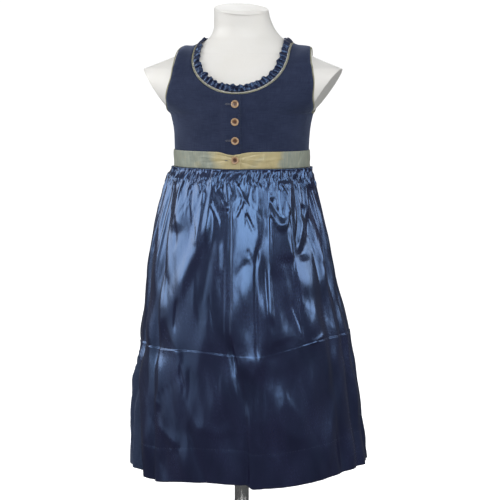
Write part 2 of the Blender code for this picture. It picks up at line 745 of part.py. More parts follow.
def make_skirts(finish):
    """The skirt's front and back widths, sewn together at the sides."""
    seam = np.degrees(0.0005 / 2 / 0.100)
    lower_left = np.linspace(-90.0 + seam, -57.0, 12)
    hidden = np.linspace(-57.0, 90.0 - seam, 19)
    back = np.linspace(90.0 + seam, 270.0 - seam, 2 * SKIRT_GATHERS + 1)
    make_skirt("skirt_front", np.concatenate([lower_left, hidden[1:]]), finish)
    make_skirt("skirt_back", back, finish)


def turned(name, profile, segments, finish, place=(0.0, 0.0, 0.0), axis=(0.0, 0.0, 1.0)):
    """A solid of revolution from (radius, height) pairs, from the foot up, with a flat disc at each end."""
    made = bmesh.new()
    rings = []
    for radius, height in profile:
        ring = []
        for i in range(segments):
            turn = 2 * math.pi * i / segments
            ring.append(made.verts.new((radius * math.cos(turn), radius * math.sin(turn), height)))
        rings.append(ring)
    for lower, upper in zip(rings, rings[1:]):
        for i in range(segments):
            k = (i + 1) % segments
            made.faces.new((lower[i], lower[k], upper[k], upper[i]))
    made.faces.new(rings[0][::-1])
    made.faces.new(rings[-1])
    mesh = bpy.data.meshes.new(name)
    made.to_mesh(mesh)
    made.free()
    mesh.materials.append(finish)
    mesh.shade_smooth()
    mesh.set_sharp_from_angle(angle=math.radians(35))
    solid = bpy.data.objects.new(name, mesh)
    bpy.context.scene.collection.objects.link(solid)
    solid.location = place
    solid.rotation_mode = "QUATERNION"
    solid.rotation_quaternion = Vector(axis).to_track_quat("Z", "Y")
    return solid


def make_buttons(finish):
    """Three buttons on the bodice's closing and one on the waistband's."""
    profile = (
        (BUTTON_RADIUS * 0.80, 0.0),
        (BUTTON_RADIUS * 0.98, 0.0009),
        (BUTTON_RADIUS, 0.0017),
        (BUTTON_RADIUS * 0.86, 0.0027),
        (BUTTON_RADIUS * 0.66, 0.0027),
        (BUTTON_RADIUS * 0.50, 0.0019),
    )
    for number, height in enumerate(BUTTON_HEIGHTS, 1):
        angle = math.degrees(math.asin(DRESS_SHIFT / float(figure_half_width(height))))
        base = on_figure(np.array(angle), np.array(height))
        out = BODICE_OUT + 2 * BODICE_CLOTH + 0.0011
        if height < BAND_TOP:
            out = BAND_OUT + overlap_lift(0.0) + 2 * BAND_CLOTH + 0.0008
        seat = moved_out(on_figure, angle, height, out)
        axis = seat - base
        place = tuple(map(float, seat))
        turned(f"button_{number}", profile, 16, finish, place=place, axis=tuple(map(float, axis)))


def form_ring(height, front_steps, side_steps):
    """One level ring of the dress form, cut off flat where it passes the stump faces."""
    up = np.clip((height - UNDERARM) / (STUMP_TIP - UNDERARM), 0.0, 1.0)
    face = UNDERARM_HALF_WIDTH + (STUMP_TIP_HALF_WIDTH - UNDERARM_HALF_WIDTH) * up
    width = float(figure_half_width(height))
    cut = 62.0
    if UNDERARM < height < STUMP_TIP:
        cut = math.degrees(math.asin(min(1.0, face / width)))
    front = np.linspace(-cut, cut, front_steps + 1)
    side = np.linspace(cut, 180.0 - cut, side_steps + 1)[1:-1]
    angle = np.concatenate([front, side, front + 180.0, side + 180.0])
    points = on_figure(angle, np.full(len(angle), height))
    if UNDERARM < height < STUMP_TIP:
        limit = face + STUMP_FACE_TURN * (points[:, 1] - float(looked_up(FIGURE, "shift_y", height)))
        points[:, 0] = np.clip(points[:, 0], -limit, limit)
    return points


def make_form(finish):
    """Torso, neck and shoulder stumps in one smooth closed body."""
    heights = np.concatenate(
        [
            [FORM_BOTTOM, 0.354, 0.374, 0.410, 0.475, 0.545, 0.609, 0.645, 0.667, 0.681],
            np.linspace(UNDERARM, STUMP_TIP, 7),
            [0.766, 0.776, 0.785, 0.794, 0.802, 0.811, 0.827],
        ]
    )
    rings = [form_ring(height, 12, 4) for height in heights]
    for height in (NECK_CAP - 0.0015, NECK_CAP):
        ring = form_ring(height, 12, 4)
        if height == NECK_CAP:
            ring[:, :2] = ring[:, :2] * 0.96 + ring[:, :2].mean(axis=0) * 0.04
        ring[:, 2] += (ring[:, 1] + 0.004) * math.tan(NECK_CAP_TILT)
        rings.append(ring)
    count = len(rings[0])
    faces = grid_faces(len(rings), count, closed=True)
    faces.append(tuple(range(count))[::-1])
    faces.append(tuple(range((len(rings) - 1) * count, len(rings) * count)))
    return add("form_torso", np.concatenate(rings), faces, finish)


def make_stand(metal):
    """The post carries the form by a flange and stands on a turned boss in the middle of the round base."""
    flange_top = FORM_BOTTOM - SEAM_GAP
    flange_foot = flange_top - FLANGE_THICKNESS
    boss_foot = BASE_THICKNESS + SEAM_GAP
    boss_top = boss_foot + BOSS_HEIGHT
    turned(
        "base_plate",
        (
            (BASE_RADIUS, 0.0),
            (BASE_RADIUS, BASE_THICKNESS - 0.002),
            (BASE_RADIUS - 0.002, BASE_THICKNESS),
        ),
        44,
        metal,
    )
    turned(
        "base_boss",
        ((0.0300, boss_foot), (0.0300, boss_foot + 0.004), (0.0200, boss_foot + 0.010), (0.0165, boss_top)),
        28,
        metal,
    )
    turned("post", ((POST_RADIUS, boss_top + SEAM_GAP), (POST_RADIUS, flange_foot - SEAM_GAP)), 24, metal)
    turned(
        "form_flange",
        (
            (FLANGE_RADIUS - 0.0015, flange_foot),
            (FLANGE_RADIUS, flange_foot + 0.0015),
            (FLANGE_RADIUS, flange_top),
        ),
        32,
        metal,
    )


def main():
    for old in list(bpy.data.objects):
        bpy.data.objects.remove(old)
    linen = material("navy linen", (0.030, 0.045, 0.115), 0.9)
    satin = material("blue satin", (0.060, 0.100, 0.250), 0.35)
    taffeta = material("green gold taffeta", (0.36, 0.36, 0.24), 0.45)
    horn = material("horn", (0.55, 0.38, 0.24), 0.4)
    shell = material("white form", (0.85, 0.84, 0.82), 0.4)
    steel = material("brushed steel", (0.62, 0.62, 0.60), 0.35, 1.0)
    make_form(shell)
    make_stand(steel)
    make_bodice_front("bodice_front_right", -1, True, linen)
    make_bodice_front("bodice_front_left", 1, False, linen)
    make_bodice_back(linen)
    make_neck_trims(taffeta, satin)
    make_armhole_piping("armhole_piping_left", 1, taffeta)
    make_armhole_piping("armhole_piping_right", -1, taffeta)
    make_waistband(taffeta)
    make_buttons(horn)
    make_skirts(linen)
    make_apron(satin)


main()
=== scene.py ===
"""A child's dirndl with a satin apron on a white dress form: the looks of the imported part.

Sizes are in metres and +Z is up. The figure faces -Y, and angles run round it in degrees: 0 is the centre
front, 90 the +X side, 180 the centre back. "Out" is a distance along a surface's outward normal.
"""

import json
import logging
import math
from dataclasses import dataclass, field, replace
from enum import Enum
from typing import Any, Iterable, Sequence

import bpy
import numpy as np
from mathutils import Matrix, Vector
from mathutils.geometry import delaunay_2d_cdt

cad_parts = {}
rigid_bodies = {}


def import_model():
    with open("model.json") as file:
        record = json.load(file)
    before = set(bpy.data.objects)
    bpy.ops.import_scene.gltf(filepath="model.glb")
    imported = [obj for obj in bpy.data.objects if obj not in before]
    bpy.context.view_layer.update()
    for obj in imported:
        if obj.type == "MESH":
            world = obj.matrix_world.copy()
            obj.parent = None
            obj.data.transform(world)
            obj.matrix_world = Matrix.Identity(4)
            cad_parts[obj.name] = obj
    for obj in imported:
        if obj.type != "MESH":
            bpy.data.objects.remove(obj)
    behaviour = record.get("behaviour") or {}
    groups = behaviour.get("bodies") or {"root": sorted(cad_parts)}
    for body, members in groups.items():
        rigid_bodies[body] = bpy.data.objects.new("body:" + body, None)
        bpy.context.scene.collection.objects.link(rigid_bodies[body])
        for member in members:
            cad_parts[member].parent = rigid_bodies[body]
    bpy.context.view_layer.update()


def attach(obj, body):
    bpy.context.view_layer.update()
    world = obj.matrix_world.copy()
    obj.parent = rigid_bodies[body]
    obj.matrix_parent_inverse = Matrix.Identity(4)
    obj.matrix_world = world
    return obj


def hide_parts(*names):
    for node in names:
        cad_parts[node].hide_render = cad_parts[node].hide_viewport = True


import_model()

log = logging.getLogger("dirndl")

Array = np.ndarray
Pair = tuple[np.ndarray, np.ndarray]
Place = tuple[float, float]
Colour = tuple[float, float, float]
Finish = bpy.types.Material

SEAM_GAP = 0.0003


def ease(t: Array) -> Array:
    """Gives 0 below 0, 1 above 1, and a smooth step between."""
    t = np.clip(t, 0, 1)
    return t * t * (3 - 2 * t)


def curve_through(places: Iterable[Place], x: Array) -> Array:
    """Draws a cubic through places, with slopes from their neighbours and level past the ends.

    Args:
        places: (x, y) pairs in rising order.
        x: where the curve is wanted.

    Returns:
        The curve's values.
    """
    xs, ys = np.array(list(places), float).T
    slopes = np.gradient(ys, xs)
    at = np.clip(np.searchsorted(xs, x) - 1, 0, len(xs) - 2)
    span = xs[at + 1] - xs[at]
    t = np.clip((x - xs[at]) / span, 0, 1)
    start = (2 * t**3 - 3 * t**2 + 1) * ys[at] + (t**3 - 2 * t**2 + t) * span * slopes[at]
    return start + (3 * t**2 - 2 * t**3) * ys[at + 1] + (t**3 - t**2) * span * slopes[at + 1]


def unit(vectors: Array) -> Array:
    """Scales vectors to length 1."""
    return vectors / np.linalg.norm(vectors, axis=-1, keepdims=True)


def joined(*parts: Any) -> Array:
    """Joins arrays end to end."""
    return np.concatenate(parts)


def distance_along(points: Array) -> Array:
    """Measures how far each point lies along a path."""
    return joined([0.0], np.cumsum(np.linalg.norm(np.diff(points, axis=0), axis=1)))


@dataclass(frozen=True)
class Ripple:
    """A smooth uneven field of about unit height, always the same for the same seed."""

    seed: int
    short: float
    long: float
    tall_short: float = 0.05
    tall_long: float = 0.2
    count: int = 14

    def over(self, across: Array, up: Array) -> Array:
        """Gives the field over a surface.

        Args:
            across: distance along the cloth's width.
            up: distance along its length.

        Returns:
            Values mostly between -1 and 1.
        """
        rng = np.random.default_rng(self.seed)
        total = np.zeros(np.broadcast(across, up).shape)
        for _ in range(self.count):
            wide = math.exp(rng.uniform(math.log(self.short), math.log(self.long)))
            tall = math.exp(rng.uniform(math.log(self.tall_short), math.log(self.tall_long)))
            lean = rng.choice((-1.0, 1.0))
            phase = rng.uniform(0.0, 2 * math.pi)
            total = total + np.sin(2 * math.pi * (across / wide + lean * up / tall) + phase)
        return total / math.sqrt(self.count)


@dataclass(frozen=True)
class Section:
    """One level section: half an ellipse in front and one behind, moved along X and Y by the shifts."""

    height: float
    half_width: float
    front_depth: float
    back_depth: float
    shift_x: float = 0.0
    shift_y: float = 0.0


class Contour:
    """A smooth upright surface through level sections."""

    def __init__(self, *rows: Sequence[float]) -> None:
        """Makes the sections from rows in millimetres, in the order of a section's columns."""
        self.sections = tuple(Section(*(size / 1000 for size in row)) for row in rows)

    def read(self, name: str, height: Array) -> Array:
        """Reads one of the sections' sizes at any height."""
        places = [(section.height, getattr(section, name)) for section in self.sections]
        return curve_through(places, np.asarray(height, float))

    def half_width(self, height: Array) -> Array:
        """Gives half the width at any height."""
        return self.read("half_width", height)

    def at(self, angle: Array, height: Array) -> Array:
        """Gives the surface's points at angles and heights."""
        turn = np.radians(angle)
        front, back = self.read("front_depth", height), self.read("back_depth", height)
        depth = np.where(np.cos(turn) > 0, front, back)
        x = self.read("shift_x", height) + self.half_width(height) * np.sin(turn)
        y = self.read("shift_y", height) - depth * np.cos(turn)
        return np.stack(np.broadcast_arrays(x, y, height), -1)

    def moved_out(self, angle: Array, height: Array, out: Array) -> Array:
        """Moves points of the surface along its outward normals.

        Args:
            angle: angles round the surface.
            height: heights above the floor.
            out: how far each point moves.

        Returns:
            The moved points.
        """
        angle, height, out = np.broadcast_arrays(*(np.asarray(v, float) for v in (angle, height, out)))
        turn_step, rise_step = 0.6, 0.0025
        across = self.at(angle + turn_step, height) - self.at(angle - turn_step, height)
        up = self.at(angle, height + rise_step) - self.at(angle, height - rise_step)
        return self.at(angle, height) + unit(np.cross(across, up)) * out[..., None]

    def line_with_facing(self, angle: Array, height: Array, out: Array) -> Pair:
        """Gives a line's points off the surface, and short arrows that face away from it."""
        line = self.moved_out(angle, height, out)
        return line, self.moved_out(angle, height, out + 0.01) - line


UNDERARM = 0.692
STUMP_TIP = 0.757
UNDERARM_HALF_WIDTH = 0.1045
STUMP_TIP_HALF_WIDTH = 0.15
STUMP_FACE_HALF_DEPTH = 0.037
STUMP_FACE_TURN = 0.06
SHOULDER_TOP = 0.812


def up_stump(height: Array) -> Array:
    """Tells what share of the way up the stump's face a height is."""
    return np.clip((height - UNDERARM) / (STUMP_TIP - UNDERARM), 0, 1)


def stump_reach(height: Array) -> Array:
    """Tells how far out the middle of the stump's face lies."""
    return UNDERARM_HALF_WIDTH + (STUMP_TIP_HALF_WIDTH - UNDERARM_HALF_WIDTH) * up_stump(height)


class Figure(Contour):
    """The dress form's skin, whose shoulder stumps end in flat oval faces."""

    def __init__(self) -> None:
        """Sets the form's level sections."""
        to_underarm = (
            (345, 96, 66, 76),
            (362, 105, 74, 86),
            (400, 111, 78, 91),
            (450, 109, 78, 87),
            (500, 102, 75, 78),
            (545, 98, 72, 70),
            (609, 98.3, 72, 69),
            (645, 99, 73, 71),
            (673, 100.6, 75, 74),
            (1000 * UNDERARM, 1000 * UNDERARM_HALF_WIDTH, 75.5, 76),
        )
        from_tip = (
            (1000 * STUMP_TIP, 1000 * STUMP_TIP_HALF_WIDTH, 64, 66, 0, 3),
            (776, 103, 59, 61, 1.5, 6),
            (790, 76.5, 55, 56, 5, 9),
            (802, 56, 50, 50, 4.4, 10),
            (814, 46.7, 45.5, 46.5, 3, 7),
            (828, 42.5, 42, 43, 1, 2),
            (860, 39.5, 40, 40.5, -1, -7),
        )
        super().__init__(*to_underarm, (725, 140, 72, 74, 0, 1), *from_tip)
        self.below = Contour(*to_underarm)
        self.above = Contour(*from_tip)

    def half_width(self, height: Array) -> Array:
        """Gives half the width, which in the stumps is that of the ellipse behind an oval face."""
        height = np.asarray(height, float)
        face_depth = STUMP_FACE_HALF_DEPTH * np.sqrt(1 - (2 * up_stump(height) - 1) ** 2)
        stump = stump_reach(height) / np.sqrt(1 - (face_depth / self.read("front_depth", height)) ** 2)
        below, above = self.below.half_width(height), self.above.half_width(height)
        plain = np.where(height <= UNDERARM, below, above)
        return np.where((height > UNDERARM) & (height < STUMP_TIP), stump, plain)

    def angle_at(self, x: Array, height: Array, side: int) -> Array:
        """Finds the angle, as on the +X side, at which the figure lies x out on the side of that sign."""
        from_axis = x - side * self.read("shift_x", height)
        return np.degrees(np.arcsin(np.minimum(from_axis / self.half_width(height), 1.0)))

    def shoulder_height(self, x: Array, angle: Array, side: int) -> Array:
        """Finds the heights at which the top of the shoulder lies x out at these angles."""
        heights = np.linspace(STUMP_TIP, SHOULDER_TOP, 240)
        width = self.half_width(heights)
        shift = side * self.read("shift_x", heights)
        lines = (-(width * math.sin(math.radians(a)) + shift) for a in angle)
        return np.array([np.interp(-one_x, line, heights) for one_x, line in zip(x, lines)])

    def spaced(self, angle: Array, height: Array, count: int, closed: bool = False) -> Pair:
        """Sets points an even distance apart on a path over the figure.

        Args:
            angle: the path's angles.
            height: the path's heights.
            count: how many steps the new path has.
            closed: True for a loop, whose last point isn't repeated.

        Returns:
            The new angles and heights.
        """
        along = distance_along(self.at(angle, height))
        at = np.linspace(0, along[-1], count + 1)[: count if closed else None]
        return np.interp(at, along, angle), np.interp(at, along, height)

    def settled(self, points: Array, clear: float) -> Array:
        """Pushes points near the figure's upper part out until they clear it.

        Args:
            points: points near the skin.
            clear: the least distance from the skin.

        Returns:
            The points, moved where they had to be.
        """
        height = points[:, 2]
        turn = np.arctan2(points[:, 0], -(points[:, 1] - self.read("shift_y", height)))
        near = np.abs(turn) < math.pi / 2
        depth = np.where(near, self.read("front_depth", height), self.read("back_depth", height))
        true_angle = np.degrees(np.arctan2(np.sin(turn) / self.half_width(height), np.cos(turn) / depth))
        skin = self.moved_out(true_angle, height, np.full(len(height), clear))
        outward = unit(skin - self.at(true_angle, height))
        short = np.sum((skin - points) * outward, axis=1)
        return points + outward * np.maximum(short, 0.0)[:, None]


FIGURE = Figure()


def place_in_scene(name: str, data: Any) -> Any:
    """Makes an object from its data and puts it in the scene."""
    made = bpy.data.objects.new(name, data)
    bpy.context.scene.collection.objects.link(made)
    return made


def make_mesh(name: str, points: Array, faces: Sequence[Sequence[int]], finish: Finish) -> Any:
    """Makes a smooth-shaded object from points and faces.

    Args:
        name: the piece's name.
        points: its vertices.
        faces: its faces, as vertex numbers.
        finish: its material.

    Returns:
        The new object, at the origin.
    """
    mesh = bpy.data.meshes.new(name)
    mesh.from_pydata(np.asarray(points, float).tolist(), [], faces)
    mesh.materials.append(finish)
    mesh.shade_smooth()
    return place_in_scene(name, mesh)


def grid_corners(rows: int, columns: int) -> Pair:
    """Gives the row and column numbers of a grid's squares."""
    return np.meshgrid(np.arange(rows - 1), np.arange(columns), indexing="ij")


def grid_quads(rows: int, columns: int, closed: bool = False) -> list[tuple[int, ...]]:
    """Lists the squares of a grid of points.

    Args:
        rows: how many rows of points.
        columns: how many points in a row.
        closed: True where the last column meets the first.

    Returns:
        The squares, as vertex numbers.
    """
    row, col = grid_corners(rows, columns if closed else columns - 1)
    a = row * columns + col
    b = row * columns + (col + 1) % columns
    return [tuple(quad) for quad in np.stack([a, b, b + columns, a + columns], -1).reshape(-1, 4).tolist()]


def set_uv(mesh: bpy.types.Mesh, corners: Array) -> None:
    """Gives the mesh its cloth map, in metres, one place for each face corner."""
    mesh.uv_layers.new(name="cloth").data.foreach_set("uv", np.asarray(corners, np.float32).ravel())


def set_value(mesh: bpy.types.Mesh, name: str, values: Array) -> None:
    """Gives the mesh a number for each vertex, which its finish reads."""
    layer = mesh.attributes.new(name, "FLOAT", "POINT")
    layer.data.foreach_set("value", np.asarray(values, np.float32).ravel())


def vertices_of(piece: Any) -> Array:
    """Reads a piece's vertices."""
    spots = np.empty(len(piece.data.vertices) * 3)
    piece.data.vertices.foreach_get("co", spots)
    return spots.reshape(-1, 3)


def cloth_grid(
    name: str,
    points: Array,
    finish: Finish,
    thickness: float,
    outward: bool = True,
    closed: bool = False,
    gold: Array | None = None,
) -> Any:
    """Makes a cloth wall from a grid of points, with its cloth map and its thickness.

    Args:
        name: the piece's name.
        points: rows by columns by 3.
        finish: its material.
        thickness: the wall's thickness.
        outward: whether the wall grows to the faces' side.
        closed: True where the last column meets the first.
        gold: how golden a shot cloth is at each point, a painted sheen of its shot colour.

    Returns:
        The new object.
    """
    rows, columns = points.shape[:2]
    cloth = make_mesh(name, points.reshape(-1, 3), grid_quads(rows, columns, closed), finish)
    ring = np.concatenate([points, points[:, :1]], 1) if closed else points
    steps = np.linalg.norm(np.diff(ring, axis=1), axis=2)
    along = np.concatenate([np.zeros((rows, 1)), np.cumsum(steps, axis=1)], 1)
    along += (along[rows // 2, -1] - along[:, -1:]) / 2
    drops = np.linalg.norm(np.diff(points, axis=0), axis=2).mean(axis=1)
    down = joined([0.0], np.cumsum(drops))
    row, col = grid_corners(rows, ring.shape[1] - 1)
    u = np.stack([along[row, col], along[row, col + 1], along[row + 1, col + 1], along[row + 1, col]], -1)
    v = np.stack([down[row], down[row], down[row + 1], down[row + 1]], -1)
    set_uv(cloth.data, np.stack([u, v], -1))
    if gold is not None:
        set_value(cloth.data, "gold", gold)
    return give_thickness(cloth, thickness, outward)


def give_thickness(cloth: Any, thickness: float, outward: bool = True) -> Any:
    """Turns a single layer into a wall with closed edges."""
    wall = cloth.modifiers.new("wall", "SOLIDIFY")
    wall.thickness = thickness
    wall.offset = 1.0 if outward else -1.0
    wall.use_rim = True
    return cloth


def round_rings(profile: Iterable[Place], segments: int) -> list[Array]:
    """Turns (radius, height) pairs about Z into rings of points."""
    turn = np.linspace(0, 2 * math.pi, segments, endpoint=False)
    return [np.stack([r * np.cos(turn), r * np.sin(turn), np.full(segments, z)], 1) for r, z in profile]


def closed_rings(name: str, rings: Sequence[Array], finish: Finish, top: bool = True) -> Any:
    """Joins rings of points, from the foot up, and closes them.

    Args:
        name: the piece's name.
        rings: rings with as many points each.
        finish: its material.
        top: False where only the foot is closed.

    Returns:
        The new object.
    """
    count = len(rings[0])
    faces = grid_quads(len(rings), count, True) + [tuple(range(count))[::-1]]
    if top:
        faces.append(tuple(range((len(rings) - 1) * count, len(rings) * count)))
    return make_mesh(name, np.concatenate(rings), faces, finish)


def turned(
    name: str, profile: list[Place], finish: Finish, segments: int = 96, sharp: float = 40
) -> Any:
    """Makes a solid of revolution about Z.

    Args:
        name: the piece's name.
        profile: (radius, height) pairs from the foot up, whose first and last discs are closed flat.
        finish: its material.
        segments: how many sides the round has.
        sharp: the angle past which an edge stays sharp.

    Returns:
        The new object.
    """
    made = closed_rings(name, round_rings(profile, segments), finish)
    radii = np.repeat([r for r, _ in profile], segments)
    set_value(made.data, "ring", radii / radii.max())
    made.data.set_sharp_from_angle(angle=math.radians(sharp))
    return made


class Wiring:
    """Shortens the wiring of a node tree."""

    def __init__(self, tree: bpy.types.NodeTree, prefix: str = "") -> None:
        """Takes the tree and what the names of its nodes' types start with."""
        self.tree = tree
        self.prefix = prefix

    def put(self, kind: str, inputs: dict | None = None, output: Any = 0, **settings: Any) -> Any:
        """Adds a node.

        Args:
            kind: the node's type, without the prefix.
            inputs: values or sockets for its inputs, by name or number.
            output: the wanted output, by name or number.
            settings: the node's own settings.

        Returns:
            The output's socket.
        """
        made = self.tree.nodes.new(self.prefix + kind)
        for key, value in settings.items():
            setattr(made, key, value)
        for key, value in (inputs or {}).items():
            self.feed(made.inputs[key], value)
        return made.outputs[output]

    def feed(self, socket: Any, value: Any) -> None:
        """Links a socket into another, or sets its number or colour."""
        if isinstance(value, bpy.types.NodeSocket):
            self.tree.links.new(value, socket)
        elif isinstance(value, tuple) and len(value) == 3 and socket.type == "RGBA":
            socket.default_value = (*value, 1.0)
        else:
            socket.default_value = value


class Bench(Wiring):
    """Node work for one finish: makes the material and its usual patterns."""

    def __init__(self, name: str) -> None:
        """Starts the material with its shader and its surface output."""
        self.material = bpy.data.materials.new(name)
        self.material.use_nodes = True
        super().__init__(self.material.node_tree, "ShaderNode")

    def math(self, operation: str, first: Any, second: Any = 0.0, third: Any = 0.0) -> Any:
        """Joins numbers by arithmetic."""
        return self.put("Math", {0: first, 1: second, 2: third}, operation=operation)

    def mix(self, share: Any, first: Any, second: Any) -> Any:
        """Mixes two colours."""
        return self.put("Mix", {0: share, 6: first, 7: second}, 2, data_type="RGBA")

    def stretch(self, value: Any, low: float, high: float, to_low: float = 0, to_high: float = 1) -> Any:
        """Maps one range of numbers to another."""
        return self.put("MapRange", {0: value, 1: low, 2: high, 3: to_low, 4: to_high})

    def cloth_noise(self, across: float, along: float, detail: float, rough: float = 0.55) -> Any:
        """Gives a noise on the cloth's map, with so many spots to the metre across and along."""
        place = self.put("Mapping", {0: self.put("UVMap", uv_map="cloth"), 3: (across, along, 1.0)})
        return self.noise(place, 1.0, detail, rough)

    def solid_noise(self, scale: float, detail: float, stretched: Colour = (1.0, 1.0, 1.0)) -> Any:
        """Gives a noise in the object's own space."""
        place = self.put("Mapping", {0: self.put("TexCoord", output="Object"), 3: stretched})
        return self.noise(place, scale, detail)

    def value(self, name: str) -> Any:
        """Gives a number that the mesh carries at each vertex."""
        return self.put("Attribute", output="Fac", attribute_name=name)

    def noise(self, place: Any, scale: float, detail: float, rough: float = 0.55) -> Any:
        """Gives a noise between 0 and 1."""
        inputs = {"Vector": place, "Scale": scale, "Detail": detail, "Roughness": rough}
        return self.put("TexNoise", inputs)

    def bump(self, height: Any, depth: float, strength: float, under: Any = None) -> Any:
        """Tilts the shading by a height field, whose unit is a depth in metres, over a coarser bump."""
        below = {} if under is None else {"Normal": under}
        return self.put("Bump", {"Strength": strength, "Distance": depth, "Height": height, **below})

    def dress(self, **values: Any) -> Finish:
        """Sets the shader's inputs, whose names have underscores for spaces, and gives the material."""
        shader = self.tree.nodes["Principled BSDF"]
        for key, value in values.items():
            self.feed(shader.inputs[key.replace("_", " ")], value)
        return self.material

    def weave(self, pitch: float) -> Any:
        """Gives a plain weave's height, one thread over and one under, between 0 and 1."""
        split = self.tree.nodes.new("ShaderNodeSeparateXYZ")
        self.feed(split.inputs[0], self.put("UVMap", uv_map="cloth"))
        turns = [self.math("MULTIPLY", split.outputs[i], math.pi / pitch) for i in (0, 1)]
        both = self.math("MULTIPLY", *(self.math("SINE", turn) for turn in turns))
        return self.math("MULTIPLY_ADD", both, 0.5, 0.5)


@dataclass(frozen=True)
class LinenFinish:
    """A matte linen blend, with uneven threads both ways and a soft nap."""

    name: str
    dark: Colour
    light: Colour
    pitch: float = 0.00065
    sheen: float = 0.3

    def make(self) -> Finish:
        """Builds the material."""
        bench = Bench(self.name)
        weft = bench.cloth_noise(70, 1300, 2)
        warp = bench.cloth_noise(1300, 70, 2)
        cloud = bench.cloth_noise(26, 26, 4)
        threads = bench.math("ADD", bench.math("MULTIPLY", weft, 0.58), bench.math("MULTIPLY", warp, 0.42))
        tone = bench.math("ADD", threads, bench.math("MULTIPLY_ADD", cloud, 0.5, -0.25))
        soft = bench.bump(threads, 0.0004, 0.55)
        return bench.dress(
            Base_Color=bench.mix(bench.stretch(tone, 0.33, 0.7), self.dark, self.light),
            Roughness=0.88,
            Specular_IOR_Level=0.22,
            Sheen_Weight=self.sheen,
            Sheen_Roughness=0.45,
            Sheen_Tint=(0.5, 0.6, 0.85),
            Normal=bench.bump(bench.weave(self.pitch), 0.0001, 0.35, under=soft),
        )


@dataclass(frozen=True)
class SatinFinish:
    """Satin lining cloth: dark blue in the shade, and a smooth blue gloss that runs along the warp."""

    name: str
    dark: Colour = (0.009, 0.0088, 0.023)
    light: Colour = (0.015, 0.0145, 0.038)
    gloss: Colour = (0.32, 0.545, 1.0)
    roughness: float = 0.235

    def make(self) -> Finish:
        """Builds the material."""
        bench = Bench(self.name)
        cloud = bench.cloth_noise(22, 9, 4)
        floats = bench.cloth_noise(2600, 160, 2)
        picks = bench.cloth_noise(60, 1500, 1)
        soft = bench.bump(bench.cloth_noise(150, 55, 3, 0.6), 0.0006, 0.22)
        fine = bench.math("ADD", floats, bench.math("MULTIPLY", picks, 0.5))
        smooth, dull = self.roughness - 0.05, self.roughness + 0.06
        return bench.dress(
            Base_Color=bench.mix(bench.stretch(cloud, 0.35, 0.68), self.dark, self.light),
            Roughness=bench.stretch(bench.math("ADD", floats, cloud), 0.7, 1.35, smooth, dull),
            IOR=1.6,
            Specular_IOR_Level=1.0,
            Specular_Tint=self.gloss,
            Anisotropic=0.35,
            Sheen_Weight=0.04,
            Sheen_Roughness=0.35,
            Sheen_Tint=(0.35, 0.45, 0.9),
            Normal=bench.bump(fine, 0.00006, 0.3, under=soft),
        )


@dataclass(frozen=True)
class TaffetaFinish:
    """Shot taffeta, grey-green where it carries 0 and gold where it carries 1, the gold being painted sheen
    of the shot colour seen face-on; thin streaks towards the lit colour are painted highlights.
    """

    name: str
    green: Colour = (0.228, 0.262, 0.228)
    gold: Colour = (0.445, 0.38, 0.205)
    # lit is the colour of the painted highlight streaks.
    lit: Colour = (0.52, 0.47, 0.3)

    def make(self) -> Finish:
        """Builds the material."""
        bench = Bench(self.name)
        patch = bench.math("MULTIPLY_ADD", bench.cloth_noise(24, 110, 4), 1, -0.5)
        # The gold share is painted sheen: it stands in for the shot cloth's change of colour with angle,
        # with random patches added.
        share = bench.stretch(bench.math("ADD", bench.value("gold"), patch), 0.15, 0.85)
        # Thin streaks mixed up to 0.3 of the way towards the lit colour are painted highlight streaks.
        streak = bench.stretch(bench.cloth_noise(700, 25, 2), 0.45, 0.75, 0, 0.3)
        soft = bench.bump(bench.cloth_noise(90, 260, 3), 0.001, 0.35)
        return bench.dress(
            Base_Color=bench.mix(streak, bench.mix(share, self.green, self.gold), self.lit),
            Roughness=0.42,
            Specular_IOR_Level=0.75,
            Specular_Tint=(1.0, 0.96, 0.8),
            Anisotropic=0.3,
            Sheen_Weight=0.15,
            Sheen_Tint=(0.95, 0.9, 0.7),
            Normal=bench.bump(bench.cloth_noise(180, 2600, 2), 0.00012, 0.45, under=soft),
        )


@dataclass(frozen=True)
class CordFinish:
    """Bias taffeta wrapped round a cord, whose threads run at a slant."""

    name: str
    green: Colour = (0.215, 0.235, 0.165)
    gold: Colour = (0.34, 0.315, 0.19)
    threads_per_metre: float = 3200.0

    def make(self) -> Finish:
        """Builds the material."""
        bench = Bench(self.name)
        along = bench.math("MULTIPLY", bench.value("along"), self.threads_per_metre)
        slant = bench.math("MULTIPLY_ADD", bench.value("round"), 2 * math.pi, along)
        threads = bench.math("MULTIPLY_ADD", bench.math("SINE", slant), 0.5, 0.5)
        tone = bench.math("ADD", bench.math("MULTIPLY", threads, 0.35), bench.solid_noise(85, 3))
        return bench.dress(
            Base_Color=bench.mix(bench.stretch(tone, 0.4, 0.95), self.green, self.gold),
            Roughness=0.5,
            Specular_IOR_Level=0.6,
            Sheen_Weight=0.2,
            Sheen_Tint=(0.95, 0.92, 0.75),
            Normal=bench.bump(threads, 0.0001, 0.5),
        )


@dataclass(frozen=True)
class HornFinish:
    """Horn: a tan rim, a reddish brown dish, and a streaky grain."""

    name: str
    rim: Colour = (0.5, 0.33, 0.19)
    dish: Colour = (0.12, 0.052, 0.028)
    grain: Colour = (0.1, 0.045, 0.025)

    def make(self) -> Finish:
        """Builds the material."""
        bench = Bench(self.name)
        streak = bench.solid_noise(1, 4, (240, 240, 1500))
        plain = bench.mix(bench.stretch(bench.value("ring"), 0.42, 0.7), self.dish, self.rim)
        return bench.dress(
            Base_Color=bench.mix(bench.stretch(streak, 0.45, 0.72, 0, 0.55), plain, self.grain),
            Roughness=bench.stretch(streak, 0.3, 0.7, 0.26, 0.42),
            Specular_IOR_Level=0.6,
            Subsurface_Weight=0.06,
            Subsurface_Radius=(0.004, 0.002, 0.001),
            Subsurface_Scale=0.3,
            Coat_Weight=0.25,
            Coat_Roughness=0.18,
            Normal=bench.bump(streak, 0.00006, 0.5),
        )


